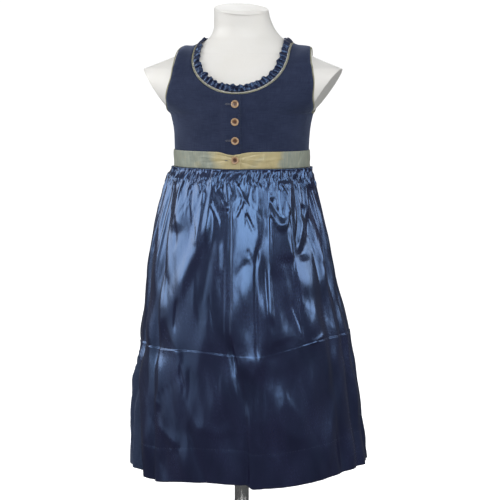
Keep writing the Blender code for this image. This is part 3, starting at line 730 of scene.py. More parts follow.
@dataclass(frozen=True)
class ShellFinish:
    """The form's moulded off-white shell, with a faint orange-peel skin."""

    name: str
    colour: Colour = (0.815, 0.802, 0.772)
    warmth: Colour = (0.965, 0.955, 0.93)

    def make(self) -> Finish:
        """Builds the material."""
        bench = Bench(self.name)
        peel = bench.solid_noise(900, 2)
        wear = bench.solid_noise(12, 4)
        warm = tuple(c * f for c, f in zip(self.colour, self.warmth))
        return bench.dress(
            Base_Color=bench.mix(bench.stretch(wear, 0.42, 0.7), self.colour, warm),
            Roughness=bench.stretch(wear, 0.3, 0.7, 0.34, 0.44),
            Specular_IOR_Level=0.35,
            Normal=bench.bump(peel, 0.0001, 0.25),
        )


@dataclass(frozen=True)
class SteelFinish:
    """Bright plated steel, with fine turning lines and a few smears."""

    name: str
    colour: Colour = (0.78, 0.78, 0.77)
    roughness: float = 0.14

    def make(self) -> Finish:
        """Builds the material."""
        bench = Bench(self.name)
        lines = bench.solid_noise(1, 2, (6, 6, 2200))
        smear = bench.solid_noise(28, 4)
        return bench.dress(
            Base_Color=self.colour,
            Metallic=1.0,
            Roughness=bench.stretch(smear, 0.35, 0.75, self.roughness, self.roughness + 0.14),
            Normal=bench.bump(lines, 0.00004, 0.25),
        )


@dataclass(frozen=True)
class ThreadFinish:
    """Sewing thread, twisted from two plies."""

    name: str
    colour: Colour

    def make(self) -> Finish:
        """Builds the material."""
        bench = Bench(self.name)
        fuzz = bench.solid_noise(2400, 2)
        dark = tuple(c * 0.6 for c in self.colour)
        return bench.dress(
            Base_Color=bench.mix(bench.stretch(fuzz, 0.35, 0.65), dark, self.colour),
            Roughness=0.7,
            Sheen_Weight=0.3,
            Normal=bench.bump(fuzz, 0.0001, 0.4),
        )


class Slot(Enum):
    """The record's material slots."""

    FORM = "form"
    STEEL = "steel"
    LINEN = "navy_linen"
    SATIN = "satin"
    TAFFETA = "taffeta"
    HORN = "horn"


class Finishes:
    """Every finish, made once."""

    def __init__(self) -> None:
        """Builds all the materials."""
        self.linen = LinenFinish("navy linen", (0.013, 0.019, 0.047), (0.029, 0.04, 0.084)).make()
        skirt = LinenFinish("skirt cloth", (0.011, 0.019, 0.046), (0.026, 0.04, 0.081), 0.0008, 0.22)
        self.skirt = skirt.make()
        self.satin = SatinFinish("blue satin").make()
        self.frill = SatinFinish("blue satin frill", gloss=(0.25, 0.43, 0.78), roughness=0.28).make()
        self.taffeta = TaffetaFinish("green gold taffeta").make()
        self.cord = CordFinish("green gold piping").make()
        self.horn = HornFinish("horn").make()
        self.shell = ShellFinish("white shell").make()
        self.steel = SteelFinish("plated steel").make()
        self.navy_thread = ThreadFinish("navy thread", (0.03, 0.042, 0.085)).make()
        self.hole_thread = ThreadFinish("buttonhole thread", (0.11, 0.12, 0.17)).make()
        self.brown_thread = ThreadFinish("brown thread", (0.075, 0.028, 0.018)).make()


def declare(piece: Any, slot: Slot, *nodes: str) -> Any:
    """Makes a finished piece ride on the part and hides the solids that it stands for."""
    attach(piece, "root")
    if nodes:
        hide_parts(*nodes)
    log.info("%s: %d faces", piece.name, len(piece.data.polygons))
    return piece


class NodeWork(Wiring):
    """Builds one Geometry Nodes tree with named inputs."""

    kinds = {float: "Float", int: "Int", type(None): "Material"}

    def __init__(self, name: str, **inputs: float | int | None) -> None:
        """Starts the tree with its named inputs and their first values, None for a material."""
        tree = bpy.data.node_groups.new(name, "GeometryNodeTree")
        super().__init__(tree)
        tree.interface.new_socket("Path", in_out="INPUT", socket_type="NodeSocketGeometry")
        tree.interface.new_socket("Piece", in_out="OUTPUT", socket_type="NodeSocketGeometry")
        self.ids: dict[str, str] = {}
        for key, value in inputs.items():
            kind = "NodeSocket" + self.kinds[type(value)]
            socket = tree.interface.new_socket(key, in_out="INPUT", socket_type=kind)
            if value is not None:
                socket.default_value = value
            self.ids[key] = socket.identifier
        self.given = tree.nodes.new("NodeGroupInput").outputs

    def curve(self, step: str) -> Any:
        """Makes the given path a curve with even steps."""
        line = self.put("GeometryNodeMeshToCurve", {0: self.given["Path"]})
        even = {"Curve": line, "Length": self.given[step]}
        return self.put("GeometryNodeResampleCurve", even, mode="LENGTH")

    def close(self, shape: Any, finish: str) -> None:
        """Ends the tree: a smooth shape, instances made real, and the finish set."""
        smooth = self.put("GeometryNodeSetShadeSmooth", {0: shape})
        real = self.put("GeometryNodeRealizeInstances", {0: smooth})
        dressed = self.put("GeometryNodeSetMaterial", {0: real, "Material": self.given[finish]})
        self.tree.links.new(dressed, self.tree.nodes.new("NodeGroupOutput").inputs[0])

    def grow(self, name: str, path: Any, **values: Any) -> Any:
        """Runs the tree on an object and gives its result as a plain mesh.

        Args:
            name: the new piece's name.
            path: the object that carries the path, which is removed.
            values: the tree's inputs.

        Returns:
            The new object.
        """
        work = path.modifiers.new("work", "NODES")
        work.node_group = self.tree
        for key, value in values.items():
            work[self.ids[key]] = value
        graph = bpy.context.evaluated_depsgraph_get()
        mesh = bpy.data.meshes.new_from_object(path.evaluated_get(graph))
        mesh.name = name
        bpy.data.objects.remove(path)
        return place_in_scene(name, mesh)


def path_object(name: str, *runs: Pair, closed: bool = False) -> Any:
    """Makes a wire object from runs of points, each with the direction that faces away from the cloth.

    Args:
        name: the object's name.
        runs: points and their outward directions.
        closed: True where each run is a loop.

    Returns:
        The object, with its directions in the attribute "up".
    """
    edges: list[tuple[int, int]] = []
    start = 0
    for points, _ in runs:
        count = len(points)
        edges += [(start + i, start + i + 1) for i in range(count - 1)]
        if closed:
            edges.append((start + count - 1, start))
        start += count
    mesh = bpy.data.meshes.new(name)
    mesh.from_pydata(np.concatenate([p for p, _ in runs]).tolist(), edges, [])
    layer = mesh.attributes.new("up", "FLOAT_VECTOR", "POINT")
    layer.data.foreach_set("vector", np.concatenate([u for _, u in runs]).astype(np.float32).ravel())
    return place_in_scene(name, mesh)


class Stitching(NodeWork):
    """Stitches at an even pitch along a path, lying along it or across it."""

    def __init__(self) -> None:
        """Builds the tree."""
        super().__init__(
            "stitches", Pitch=0.003, Length=0.002, Width=0.0004, Turn=0.0, Wander=0.08, Seed=5, Thread=None
        )
        given = self.given
        align = "FunctionNodeAlignRotationToVector"
        lying = self.put(align, {"Vector": self.put("GeometryNodeInputTangent")}, axis="X")
        up = self.put("GeometryNodeInputNamedAttribute", {"Name": "up"}, data_type="FLOAT_VECTOR")
        facing = self.put(align, {"Rotation": lying, "Vector": up}, axis="Z", pivot_axis="X")
        stray = self.put("FunctionNodeRandomValue", {"Seed": given["Seed"]}, 1, data_type="FLOAT")
        spread = self.put("ShaderNodeMath", {0: stray, 1: 0.5}, operation="SUBTRACT")
        swing = {0: spread, 1: given["Wander"], 2: given["Turn"]}
        slant = self.put("ShaderNodeMath", swing, operation="MULTIPLY_ADD")
        about = self.put("ShaderNodeCombineXYZ", {2: slant})
        by = self.put("FunctionNodeEulerToRotation", {0: about})
        turned_by = self.put("FunctionNodeRotateRotation", {0: facing, 1: by}, rotation_space="LOCAL")
        bead = self.put("GeometryNodeMeshUVSphere", {"Segments": 6, "Rings": 4, "Radius": 0.5})
        size = self.put("ShaderNodeCombineXYZ", {0: given["Length"], 1: given["Width"], 2: given["Width"]})
        stitch = self.put("GeometryNodeTransform", {"Geometry": bead, "Scale": size})
        where = {"Points": self.curve("Pitch"), "Instance": stitch, "Rotation": turned_by}
        self.close(self.put("GeometryNodeInstanceOnPoints", where), "Thread")

    def hem(self, name: str, seed: int, thread: Finish, *lines: Pair) -> Any:
        """Sews a hem's small stitches along lines of points and the arrows that face away from them."""
        path = path_object("hem_path", *((line + facing * 0.002, facing) for line, facing in lines))
        return self.grow(
            name, path, Pitch=0.0042, Length=0.0011, Width=0.0003, Wander=0.5, Seed=seed, Thread=thread
        )


class Cording(NodeWork):
    """A round cord along a closed path, with the distance along it and round it kept for its finish."""

    def __init__(self) -> None:
        """Builds the tree."""
        super().__init__("cording", Radius=0.001, Sides=10, Step=0.0025, Cloth=None)
        along = self.keep("along", self.curve("Step"), "Length")
        size = {"Resolution": self.given["Sides"], "Radius": self.given["Radius"]}
        around = self.keep("round", self.put("GeometryNodeCurvePrimitiveCircle", size), "Factor")
        self.close(self.put("GeometryNodeCurveToMesh", {"Curve": along, "Profile Curve": around}), "Cloth")

    def keep(self, name: str, curve: Any, measure: str) -> Any:
        """Stores how far along the curve each point lies."""
        place = self.put("GeometryNodeSplineParameter", output=measure)
        stored = {"Geometry": curve, "Name": name, "Value": place}
        return self.put("GeometryNodeStoreNamedAttribute", stored, data_type="FLOAT")


@dataclass
class Cut:
    """The bodice's cut: its cloth, its edges and how it lies on the form."""

    cloth: float = 0.0014
    waist: float = 0.609
    neck_half_width: float = 0.0715
    neck_shoulder: float = 0.775
    front_neck_drop: float = 0.0555
    back_neck_drop: float = 0.022
    strap_outer: float = 0.0895
    back_armhole_in: float = 0.006
    overlap: float = 0.008
    shift: float = 0.004
    neck_turn: float = 0.001
    strap_turn: float = 0.0028
    shoulder_turn: float = 0.0048
    out: float = 0.0014
    shoulder_rest_out: float = 0.0008
    strap_lift: float = 0.0085
    seam_angle: float = 89.95
    armhole: tuple[Place, ...] = (
        (UNDERARM, UNDERARM_HALF_WIDTH), (0.699, 0.107), (0.71, 0.1068),
        (0.729, 0.1058), (0.744, 0.1032), (STUMP_TIP, 0.1),
    )

    def neckline(self, drop: float, side: int) -> Pair:
        """Draws the neckline from the dress's middle to the shoulder seam.

        Args:
            drop: how far its lowest point lies below the shoulder.
            side: -1 for the -X side, 1 for the +X side.

        Returns:
            Angles, as on the +X side, and heights.
        """
        turn = np.linspace(0, math.pi / 2, 60)
        x = side * self.shift + (self.neck_half_width + side * self.neck_turn) * np.sin(turn)
        height = self.neck_shoulder - drop * np.cos(turn)
        angle = FIGURE.angle_at(x, height, side)
        over_angle = np.linspace(angle[-1], 90.0, 40)[1:]
        over_height = FIGURE.shoulder_height(np.full(39, x[-1]), over_angle, side)
        return joined(angle, over_angle), joined(height, over_height)

    def armhole_half(self, front: bool, side: int) -> Pair:
        """Draws the armhole from the underarm over the shoulder to the seam.

        Args:
            front: True for the front half.
            side: -1 for the -X side, 1 for the +X side.

        Returns:
            Angles, as on the +X side, and heights.
        """
        height = np.linspace(UNDERARM, STUMP_TIP, 80)
        shift = side * self.shift * ease(4 * up_stump(height))
        turned_by = side * self.shoulder_turn * ease((height - 0.712) / 0.033)
        x = curve_through(self.armhole, height) + shift
        if front:
            x = x + turned_by
        else:
            x = x - turned_by - self.back_armhole_in * ease((height - UNDERARM) / 0.012)
        angle = FIGURE.angle_at(x, height, side)
        over_angle = np.linspace(angle[-1], 90.0, 50)[1:]
        share = ((over_angle - angle[-1]) / (90.0 - angle[-1])) ** 0.6
        top_x = self.strap_outer + side * (self.shift + self.strap_turn)
        over_height = FIGURE.shoulder_height(x[-1] + (top_x - x[-1]) * share, over_angle, side)
        return joined(angle, over_angle), joined(height, over_height)

    def lies_out(self, angle: Array, height: Array) -> Array:
        """Tells how far off the form the bodice lies: it rests by the neck, and the strap's edge is up."""
        across = FIGURE.half_width(height) * np.sin(np.radians(angle)) + FIGURE.read("shift_x", height)
        x = np.abs(across - self.shift)
        lift = self.strap_lift * ease((height - 0.742) / 0.036) * ease((x - 0.074) / 0.02)
        rest = (self.out - self.shoulder_rest_out) * ease((height - 0.765) / 0.02)
        return self.out - rest + lift

    def overlap_lift(self, x: Array) -> Array:
        """Tells how far the closing's upper layer stands off. x runs across from the dress's middle."""
        return (self.cloth + 0.0008) * ease((0.024 - x) / 0.012)

    def half_outline(self, drop: float, front: bool, side: int) -> Pair:
        """Draws half a panel's outline, from the waist's middle round by the side, armhole and neckline.

        Args:
            drop: the neckline's drop.
            front: True for a front panel.
            side: -1 for the -X side, 1 for the +X side.

        Returns:
            Angles, as on the +X side, and heights.
        """
        arm_angle, arm_height = FIGURE.spaced(*self.armhole_half(front, side), 56)
        neck_angle, neck_height = FIGURE.spaced(*self.neckline(drop, side), 56)
        middle = float(FIGURE.angle_at(side * self.shift, self.waist, side))
        waist = np.linspace(middle, self.seam_angle, 50)
        rise = np.linspace(self.waist, UNDERARM, 31)[1:]
        shoulder = np.linspace(arm_height[-1], neck_height[-1], 9)[1:-1]
        seam = np.full(len(rise), self.seam_angle)
        top = np.full(len(shoulder), self.seam_angle)
        angle = joined(waist, seam, arm_angle[1:], top, neck_angle[::-1])
        foot = np.full(50, self.waist)
        height = joined(foot, rise, arm_height[1:], shoulder, neck_height[::-1])
        return np.minimum(angle, self.seam_angle), height


CUT = Cut()


def inside_outline(border: Array, points: Array) -> Pair:
    """Tells which points lie inside a closed outline, and how near its edge.

    Args:
        border: the outline's corners.
        points: the points to test.

    Returns:
        Whether each point lies inside, and its distance from the outline.
    """
    crossed = np.zeros(len(points), int)
    nearest = np.full(len(points), 1.0)
    for a, b in zip(border, np.roll(border, -1, axis=0)):
        spans = (a[1] > points[:, 1]) != (b[1] > points[:, 1])
        rise = b[1] - a[1] if b[1] != a[1] else 1.0
        crossed += spans & (points[:, 0] < a[0] + (points[:, 1] - a[1]) / rise * (b[0] - a[0]))
        share = np.clip((points - a) @ (b - a) / ((b - a) @ (b - a)), 0.0, 1.0)
        nearest = np.minimum(nearest, np.linalg.norm(a + (b - a) * share[:, None] - points, axis=1))
    return crossed % 2 == 1, nearest


@dataclass(frozen=True)
class Crease:
    """A ridge or a trough along a line of (angle, height) places.

    rise is how far its middle stands out, negative for a trough. before and after are its half widths on
    the side of the smaller and the greater angle, or below and above it when it runs level.
    """

    places: tuple[Place, ...]
    rise: float
    before: float
    after: float
    fade_first: float = 0.02
    fade_last: float = 0.03
    level: bool = False

    def over(self, angle: Array, height: Array, radius: Array) -> Array:
        """Gives the crease's relief over the cloth.

        Args:
            angle: angles round the figure.
            height: heights above the floor.
            radius: the surface's distance from the axis, which turns angles into lengths.

        Returns:
            How far it moves each point out.
        """
        per_degree = radius * math.pi / 180.0
        if self.level:
            line = sorted(self.places)
            offset = height - curve_through(line, angle)
            past_first, past_last = (angle - line[0][0]) * per_degree, (line[-1][0] - angle) * per_degree
        else:
            line = sorted(place[::-1] for place in self.places)
            offset = (angle - curve_through(line, height)) * per_degree
            past_first, past_last = line[-1][0] - height, height - line[0][0]
        shows = ease(1 + past_first / self.fade_first) * ease(1 + past_last / self.fade_last)
        across = offset / np.where(offset < 0, self.before, self.after)
        return self.rise * np.exp(-1.4 * across**2) * shows


def upright(
    line: Sequence[float], rise: float, before: float, after: float, first: float = 20, last: float = 30
) -> Crease:
    """Makes a crease down the cloth, from angles and heights in turn, and sizes in millimetres."""
    places = tuple((angle, height / 1000) for angle, height in zip(line[::2], line[1::2]))
    return Crease(places, *(size / 1000 for size in (rise, before, after, first, last)))


def level(line: Sequence[float], *sizes: float) -> Crease:
    """Makes a crease across the cloth, from the same numbers."""
    return replace(upright(line, *sizes), level=True)


def straight(top: float, foot: float, rise: float, width: float, first: float = 20) -> Crease:
    """Makes a long fold from an angle at the waist to one at the hem, as wide on both sides."""
    return upright((top, 609, foot, 155), rise, width, width, first, 50)


def relief(creases: Iterable[Crease], angle: Array, height: Array, radius: Array) -> Array:
    """Adds up the reliefs of many creases."""
    flat = np.zeros(np.broadcast(angle, height).shape)
    return sum((crease.over(angle, height, radius) for crease in creases), flat)


@dataclass
class Bodice:
    """Two linen fronts and a back, with small pulls at the underarms and a stitched closing edge."""

    flat_radius: float = 0.085
    grain: float = 0.0031
    pulls: tuple[Crease, ...] = (
        upright((-66, 700, -78, 712), -0.7, 3.5, 3.5, 10, 10),
        upright((-58, 690, -70, 706), 0.5, 5, 5, 12, 12),
        upright((62, 716, 75, 698), -0.9, 3.5, 3.5, 10, 10),
        upright((55, 704, 72, 686), 0.6, 5, 5, 12, 12),
        upright((110, 716, 103, 698), -0.8, 3.5, 3.5, 10, 10),
        upright((250, 716, 257, 698), -0.8, 3.5, 3.5, 10, 10),
    )
    drape: Ripple = Ripple(31, 0.05, 0.16, 0.04, 0.12)
    levels: Array = field(default_factory=lambda: np.linspace(CUT.waist, 0.815, 300))

    def laid_up(self) -> Array:
        """Gives how high each level lies in the cut panel."""
        return distance_along(FIGURE.at(np.full(300, 60.0), self.levels))

    def panel(self, angle: Array, height: Array) -> tuple[Array, Array, list[tuple[int, ...]], Array]:
        """Fills a panel's outline with even triangles.

        Args:
            angle: the outline's angles.
            height: the outline's heights.

        Returns:
            Angles, heights, faces, and the places in the cut panel.
        """
        across, up = np.radians(angle) * self.flat_radius, np.interp(height, self.levels, self.laid_up())
        border = np.stack([across, up], 1)
        spots = []
        for row, v in enumerate(np.arange(up.min() + self.grain * 0.8, up.max(), self.grain * 0.87)):
            start = across.min() + self.grain * (0.5 + 0.5 * (row % 2))
            spots += [(u, v) for u in np.arange(start, across.max(), self.grain)]
        inner = np.array(spots)
        within, distance = inside_outline(border, inner)
        inner = inner[within & (distance > self.grain * 0.5)]
        points = [Vector(p) for p in joined(border, inner)]
        edges = [(i, (i + 1) % len(border)) for i in range(len(border))]
        flat, _, faces, *_ = delaunay_2d_cdt(points, edges, [], 1, 1e-7)
        cut = np.array([tuple(p) for p in flat])
        levels = np.interp(cut[:, 1], self.laid_up(), self.levels)
        return np.degrees(cut[:, 0] / self.flat_radius), levels, [tuple(face) for face in faces], cut

    def surface(self, angle: Array, height: Array, out: Array) -> Array:
        """Lays the cloth on the form, with its pulls and a little unevenness."""
        around = angle % 360.0
        signed = np.where(around > 270.0, around - 360.0, around)
        uneven = 0.00035 * self.drape.over(np.radians(angle) * 0.1, height)
        pulled = relief(self.pulls, signed, height, np.full_like(height, 0.105))
        room = np.minimum(out, 0.0012)
        return FIGURE.moved_out(angle, height, out + np.clip(uneven + pulled, -room * 0.6, 0.0012))

    def finish_panel(self, name: str, points: Array, faces: Any, cut: Array, finish: Finish) -> Any:
        """Makes a panel's object with its cloth map and thickness."""
        made = make_mesh(name, points, faces, finish)
        corners = np.empty(len(made.data.loops), np.int32)
        made.data.loops.foreach_get("vertex_index", corners)
        set_uv(made.data, cut[corners])
        return give_thickness(made, CUT.cloth)

    def front(self, name: str, side: int, finish: Finish) -> Any:
        """Makes one front, the -X one of which lies on top at the closing.

        Args:
            name: the piece's name.
            side: -1 for the -X side, 1 for the +X side.
            finish: its material.

        Returns:
            The new object.
        """
        shift = side * CUT.shift
        angle, height = CUT.half_outline(CUT.front_neck_drop, True, side)
        rise = np.linspace(height[-1], CUT.waist, 46)
        past = FIGURE.angle_at(shift - CUT.overlap, rise, side)
        angle, height = joined(angle, past), joined(height, rise)
        angle, height, faces, cut = self.panel(angle, height)
        out = CUT.lies_out(angle * side, height)
        if side < 0:
            out = out + CUT.overlap_lift(FIGURE.half_width(height) * np.sin(np.radians(angle)) - shift)
            faces = [face[::-1] for face in faces]
        points = self.surface(angle * side, height, out)
        return self.finish_panel(name, points, faces, cut * np.array([side, 1.0]), finish)

    def back(self, name: str, finish: Finish) -> Any:
        """Makes the back, in one piece from side seam to side seam."""
        right_angle, right_height = CUT.half_outline(CUT.back_neck_drop, False, -1)
        left_angle, left_height = CUT.half_outline(CUT.back_neck_drop, False, 1)
        angle = joined(right_angle, -left_angle[::-1][1:-1])
        height = joined(right_height, left_height[::-1][1:-1])
        angle, height, faces, cut = self.panel(angle, height)
        points = self.surface(180.0 + angle, height, CUT.lies_out(180.0 + angle, height))
        return self.finish_panel(name, points, faces, cut, finish)

    def closing_stitches(self, stitching: Stitching, thread: Finish) -> Any:
        """Sews a line of stitches down the closing, just inside its edge."""
        height = np.linspace(0.639, 0.7165, 60)
        angle = FIGURE.angle_at(np.full(60, CUT.shift + CUT.overlap - 0.0022), height, 1)
        out = CUT.out + CUT.overlap_lift(np.full(60, -CUT.overlap)) + CUT.cloth + 0.0001
        path = path_object("closing_path", FIGURE.line_with_facing(angle, height, out))
        sizes = {"Pitch": 0.0026, "Length": 0.0018, "Width": 0.00035, "Wander": 0.1, "Seed": 3}
        return stitching.grow("closing_stitches", path, Thread=thread, **sizes)

    def build(self, finishes: Finishes, stitching: Stitching) -> None:
        """Makes the bodice and reports its cloth."""
        linen = finishes.linen
        right = declare(self.front("right_front", -1, linen), Slot.LINEN, "bodice_front_right")
        left = declare(self.front("left_front", 1, linen), Slot.LINEN, "bodice_front_left")
        back = declare(self.back("back_panel", linen), Slot.LINEN, "bodice_back")
        stitches = declare(self.closing_stitches(stitching, finishes.navy_thread), Slot.LINEN)


@dataclass
class NeckTrim:
    """Piping round the neckline and both armholes, and the satin frill that stands inside the neckline."""

    radius: float = 0.0008
    gap: float = 0.0005
    frill_width: float = 0.01
    waves: int = 72
    wave: float = 0.0011
    frill_out: float = 0.001
    satin: float = 0.0011
    neck_length: float = 0.46
    steps_per_wave: int = 12
    rows: int = 10
    steps: int = 48
    uneven: Ripple = Ripple(77, 0.02, 0.09)
    crimp: Ripple = Ripple(78, 0.006, 0.02, 0.01, 0.05)

    def loop_frame(self, angle: Array, height: Array, out: Array) -> tuple[Array, Array, Array]:
        """Gives a closed path's points, outward normals and sideways directions."""
        points = FIGURE.moved_out(angle, height, out)
        normal = unit(points - FIGURE.moved_out(angle, height, out - 0.001))
        along = unit(np.roll(points, -1, axis=0) - np.roll(points, 1, axis=0))
        return points, normal, unit(np.cross(normal, along))

    def over_shoulder(self, front: Pair, back: Pair) -> Pair:
        """Joins an edge's front half with its back half, which meet at the shoulder seam.

        Args:
            front: the front half's angles and heights.
            back: the back half's, as on the front.

        Returns:
            Angles and heights an even distance apart on each half.
        """
        front_angle, front_height = FIGURE.spaced(*front, self.steps)
        back_angle, back_height = FIGURE.spaced(*back, self.steps)
        angle = joined(front_angle, (180.0 - back_angle)[::-1][1:])
        return angle, joined(front_height, back_height[::-1][1:])

    def neck_loop(self) -> Pair:
        """Draws the whole neckline from centre front round by +X."""
        drops = CUT.front_neck_drop, CUT.back_neck_drop
        halves = [self.over_shoulder(*(CUT.neckline(drop, side) for drop in drops)) for side in (1, -1)]
        (left_angle, left_height), (right_angle, right_height) = halves
        angle = joined(left_angle, (360.0 - right_angle)[::-1][1:-1])
        return angle, joined(left_height, right_height[::-1][1:-1])

    def armhole_loop(self, side: int) -> Pair:
        """Draws one armhole, from the underarm up the front, over the shoulder and down the back."""
        angle, height = self.over_shoulder(*(CUT.armhole_half(front, side) for front in (True, False)))
        return angle[:-1] * side, height[:-1]

    def cord_path(self, loop: Pair, inward: int) -> Any:
        """Draws a cord's middle beside a loop, level with the cloth that it edges.

        Args:
            loop: the cloth edge's angles and heights.
            inward: 1 or -1, for the side of the loop on which the cord lies.

        Returns:
            The path.
        """
        out = np.maximum(CUT.lies_out(*loop) + CUT.cloth / 2, self.radius + CUT.shoulder_rest_out)
        edge, normal, sideways = self.loop_frame(*loop, out)
        centres = edge + sideways * inward * (self.gap + self.radius)
        return path_object("cord_path", (centres, normal), closed=True)

    def frill(self, finish: Finish) -> Any:
        """Makes the gathered frill, crowded where it is sewn in and looser at its free edge."""
        angle, height = self.neck_loop()
        angle, height = np.append(angle, angle[0] + 360.0), np.append(height, height[0])
        angle, height = FIGURE.spaced(angle, height, self.waves * self.steps_per_wave, closed=True)
        along = np.linspace(0, self.neck_length, len(angle), endpoint=False)
        level_along = np.zeros_like(along)
        drift = self.uneven.over(along, level_along) * np.sin(math.pi * along / self.neck_length)
        turn = 2 * math.pi * (self.waves * along / self.neck_length + 0.35 * drift)
        size = np.clip(1 + 0.35 * self.uneven.over(along + 0.3, level_along), 0.45, 1.25)
        ragged = 0.0008 * self.uneven.over(along * 2.0, level_along)
        ragged = ragged + 0.001 * self.crimp.over(along, level_along)
        root = 2 * self.gap + 2 * self.radius + 0.0012
        points, normal, inward = self.loop_frame(angle, height, np.full(len(angle), self.frill_out))
        rings = []
        for share in np.linspace(0, 1, self.rows):
            swing = np.interp(share, (0.0, 0.5, 1.0), (0.35, 1.0, 1.35))
            wave = np.sin(turn + 0.5 * share)
            pleated = np.sign(wave) * np.abs(wave) ** 0.8 * size
            pinch = 0.16 * (1 - share) * np.sin(2 * turn + 1.0)
            crush = 0.5 * self.crimp.over(along, np.full_like(along, share * 0.012))
            lift = (np.clip(pleated + pinch + crush, -1, 1.35) + 1) * self.wave * swing
            reach = root + self.frill_width * share + ragged * share
            laid = FIGURE.settled(points + inward * reach[:, None], self.frill_out)
            rings.append(laid + normal * lift[:, None])
        return cloth_grid("neck_frill", np.stack(rings), finish, self.satin, closed=True)

    def build(self, finishes: Finishes, cording: Cording) -> None:
        """Makes the piping and the frill."""
        loops = (
            ("neck_cord", "neck_piping", self.neck_loop(), 1),
            ("armhole_cord_left", "armhole_piping_left", self.armhole_loop(1), -1),
            ("armhole_cord_right", "armhole_piping_right", self.armhole_loop(-1), 1),
        )
        sizes = {"Radius": self.radius, "Sides": 12, "Step": 0.0016, "Cloth": finishes.cord}
        for name, node, loop, inward in loops:
            declare(cording.grow(name, self.cord_path(loop, inward), **sizes), Slot.TAFFETA, node)
        frill = declare(self.frill(finishes.frill), Slot.SATIN, "neck_ruffle")


@dataclass
class Waistband:
    """The shot taffeta band, lapped at the centre front, with pulls round its button."""

    cloth: float = 0.0011
    bottom: float = 0.6122
    top: float = 0.637
    out: float = 0.0029
    columns: int = 460
    rows: int = 20
    raised: float = 0.002
    dip: float = 0.0044
    pulls: tuple[Crease, ...] = (
        level((-11, 631, -4, 628.5, 1, 626.2), -1.1, 1.1, 1.1, 6, 4),
        level((-12, 633, -4, 631.2, 3, 629.6), 0.8, 1.2, 1.2, 8, 6),
        level((-26, 627, -6, 624.6), 0.5, 1.3, 1.3, 10, 6),
        level((-24, 619, -6, 622.2), -0.5, 1.3, 1.3, 10, 6),
        level((6, 626.5, 16, 630.5, 24, 632), -0.7, 1.2, 1.2, 6, 10),
        level((7, 623.5, 26, 622.5, 40, 625), 0.6, 1.8, 1.8, 6, 14),
        level((7, 620.5, 18, 615), -0.6, 1.3, 1.3, 6, 8),
        upright((9, 633, 9.6, 625), 0.5, 0.9, 0.9, 4, 4),
        upright((27, 632, 25.5, 620), 0.6, 1.1, 1.1, 4, 4),
        upright((-38, 630, -34, 614), -0.5, 2.2, 2.2, 4, 4),
        upright((52, 631, 56, 615), 0.6, 2.4, 2.4, 4, 4),
        upright((68, 631, 62, 616), -0.6, 2, 2, 4, 4),
        upright((150, 632, 158, 615), 0.7, 2.6, 2.6, 4, 4),
        upright((205, 631, 196, 614), -0.6, 2.4, 2.4, 4, 4),
    )
    uneven: Ripple = Ripple(12, 0.012, 0.05, 0.02, 0.08)
    patches: Ripple = Ripple(15, 0.03, 0.09, 0.02, 0.06)

    def build(self, finishes: Finishes) -> None:
        """Makes the band and reports it."""
        angle = np.linspace(-3.0, 367.0, self.columns)[None, :]
        dips = sum(np.exp(-(((angle - middle) / 8.5) ** 2)) for middle in (0.5, 360.5))
        share = np.linspace(0, 1, self.rows)[:, None]
        height = self.bottom + (self.top - self.dip * dips - self.bottom) * share
        x = FIGURE.half_width(np.array(self.top)) * np.sin(np.radians(angle)) - CUT.shift
        bump = CUT.overlap_lift(-x) * ease((0.024 - x) / 0.014) * (np.cos(np.radians(angle)) > 0)
        lap = (self.cloth + 0.0004) * ease((angle - 336.0) / 12.0)
        around = (angle + 90.0) % 360.0 - 90.0
        along = np.radians(angle) * 0.1
        pulled = relief(self.pulls, around, height - self.raised, np.full_like(height, 0.104))
        soft = 0.00035 * self.uneven.over(along, height)
        calm = ease((angle - 3.0) / 9.0) * ease(1 + (366.0 - angle) / 20.0)
        extra = np.clip((pulled + soft) * np.where(angle > 180, 1, calm), -0.0006, 0.0014)
        points = FIGURE.moved_out(angle, height, self.out + bump + lap + extra)
        # The gold share is painted sheen: gold where the band faces the front and the back, grey-green
        # towards the sides, with random patches added.
        gold = ease((around + 26.0) / 20.0) * ease((48.0 - around) / 13.0)
        gold = gold + 0.8 * ease((around - 150.0) / 14.0) * ease((226.0 - around) / 14.0)
        gold = gold + 0.14 * self.patches.over(along, height)
        band = cloth_grid("waist_band", points, finishes.taffeta, self.cloth, gold=gold)
        declare(band, Slot.TAFFETA, "waistband")


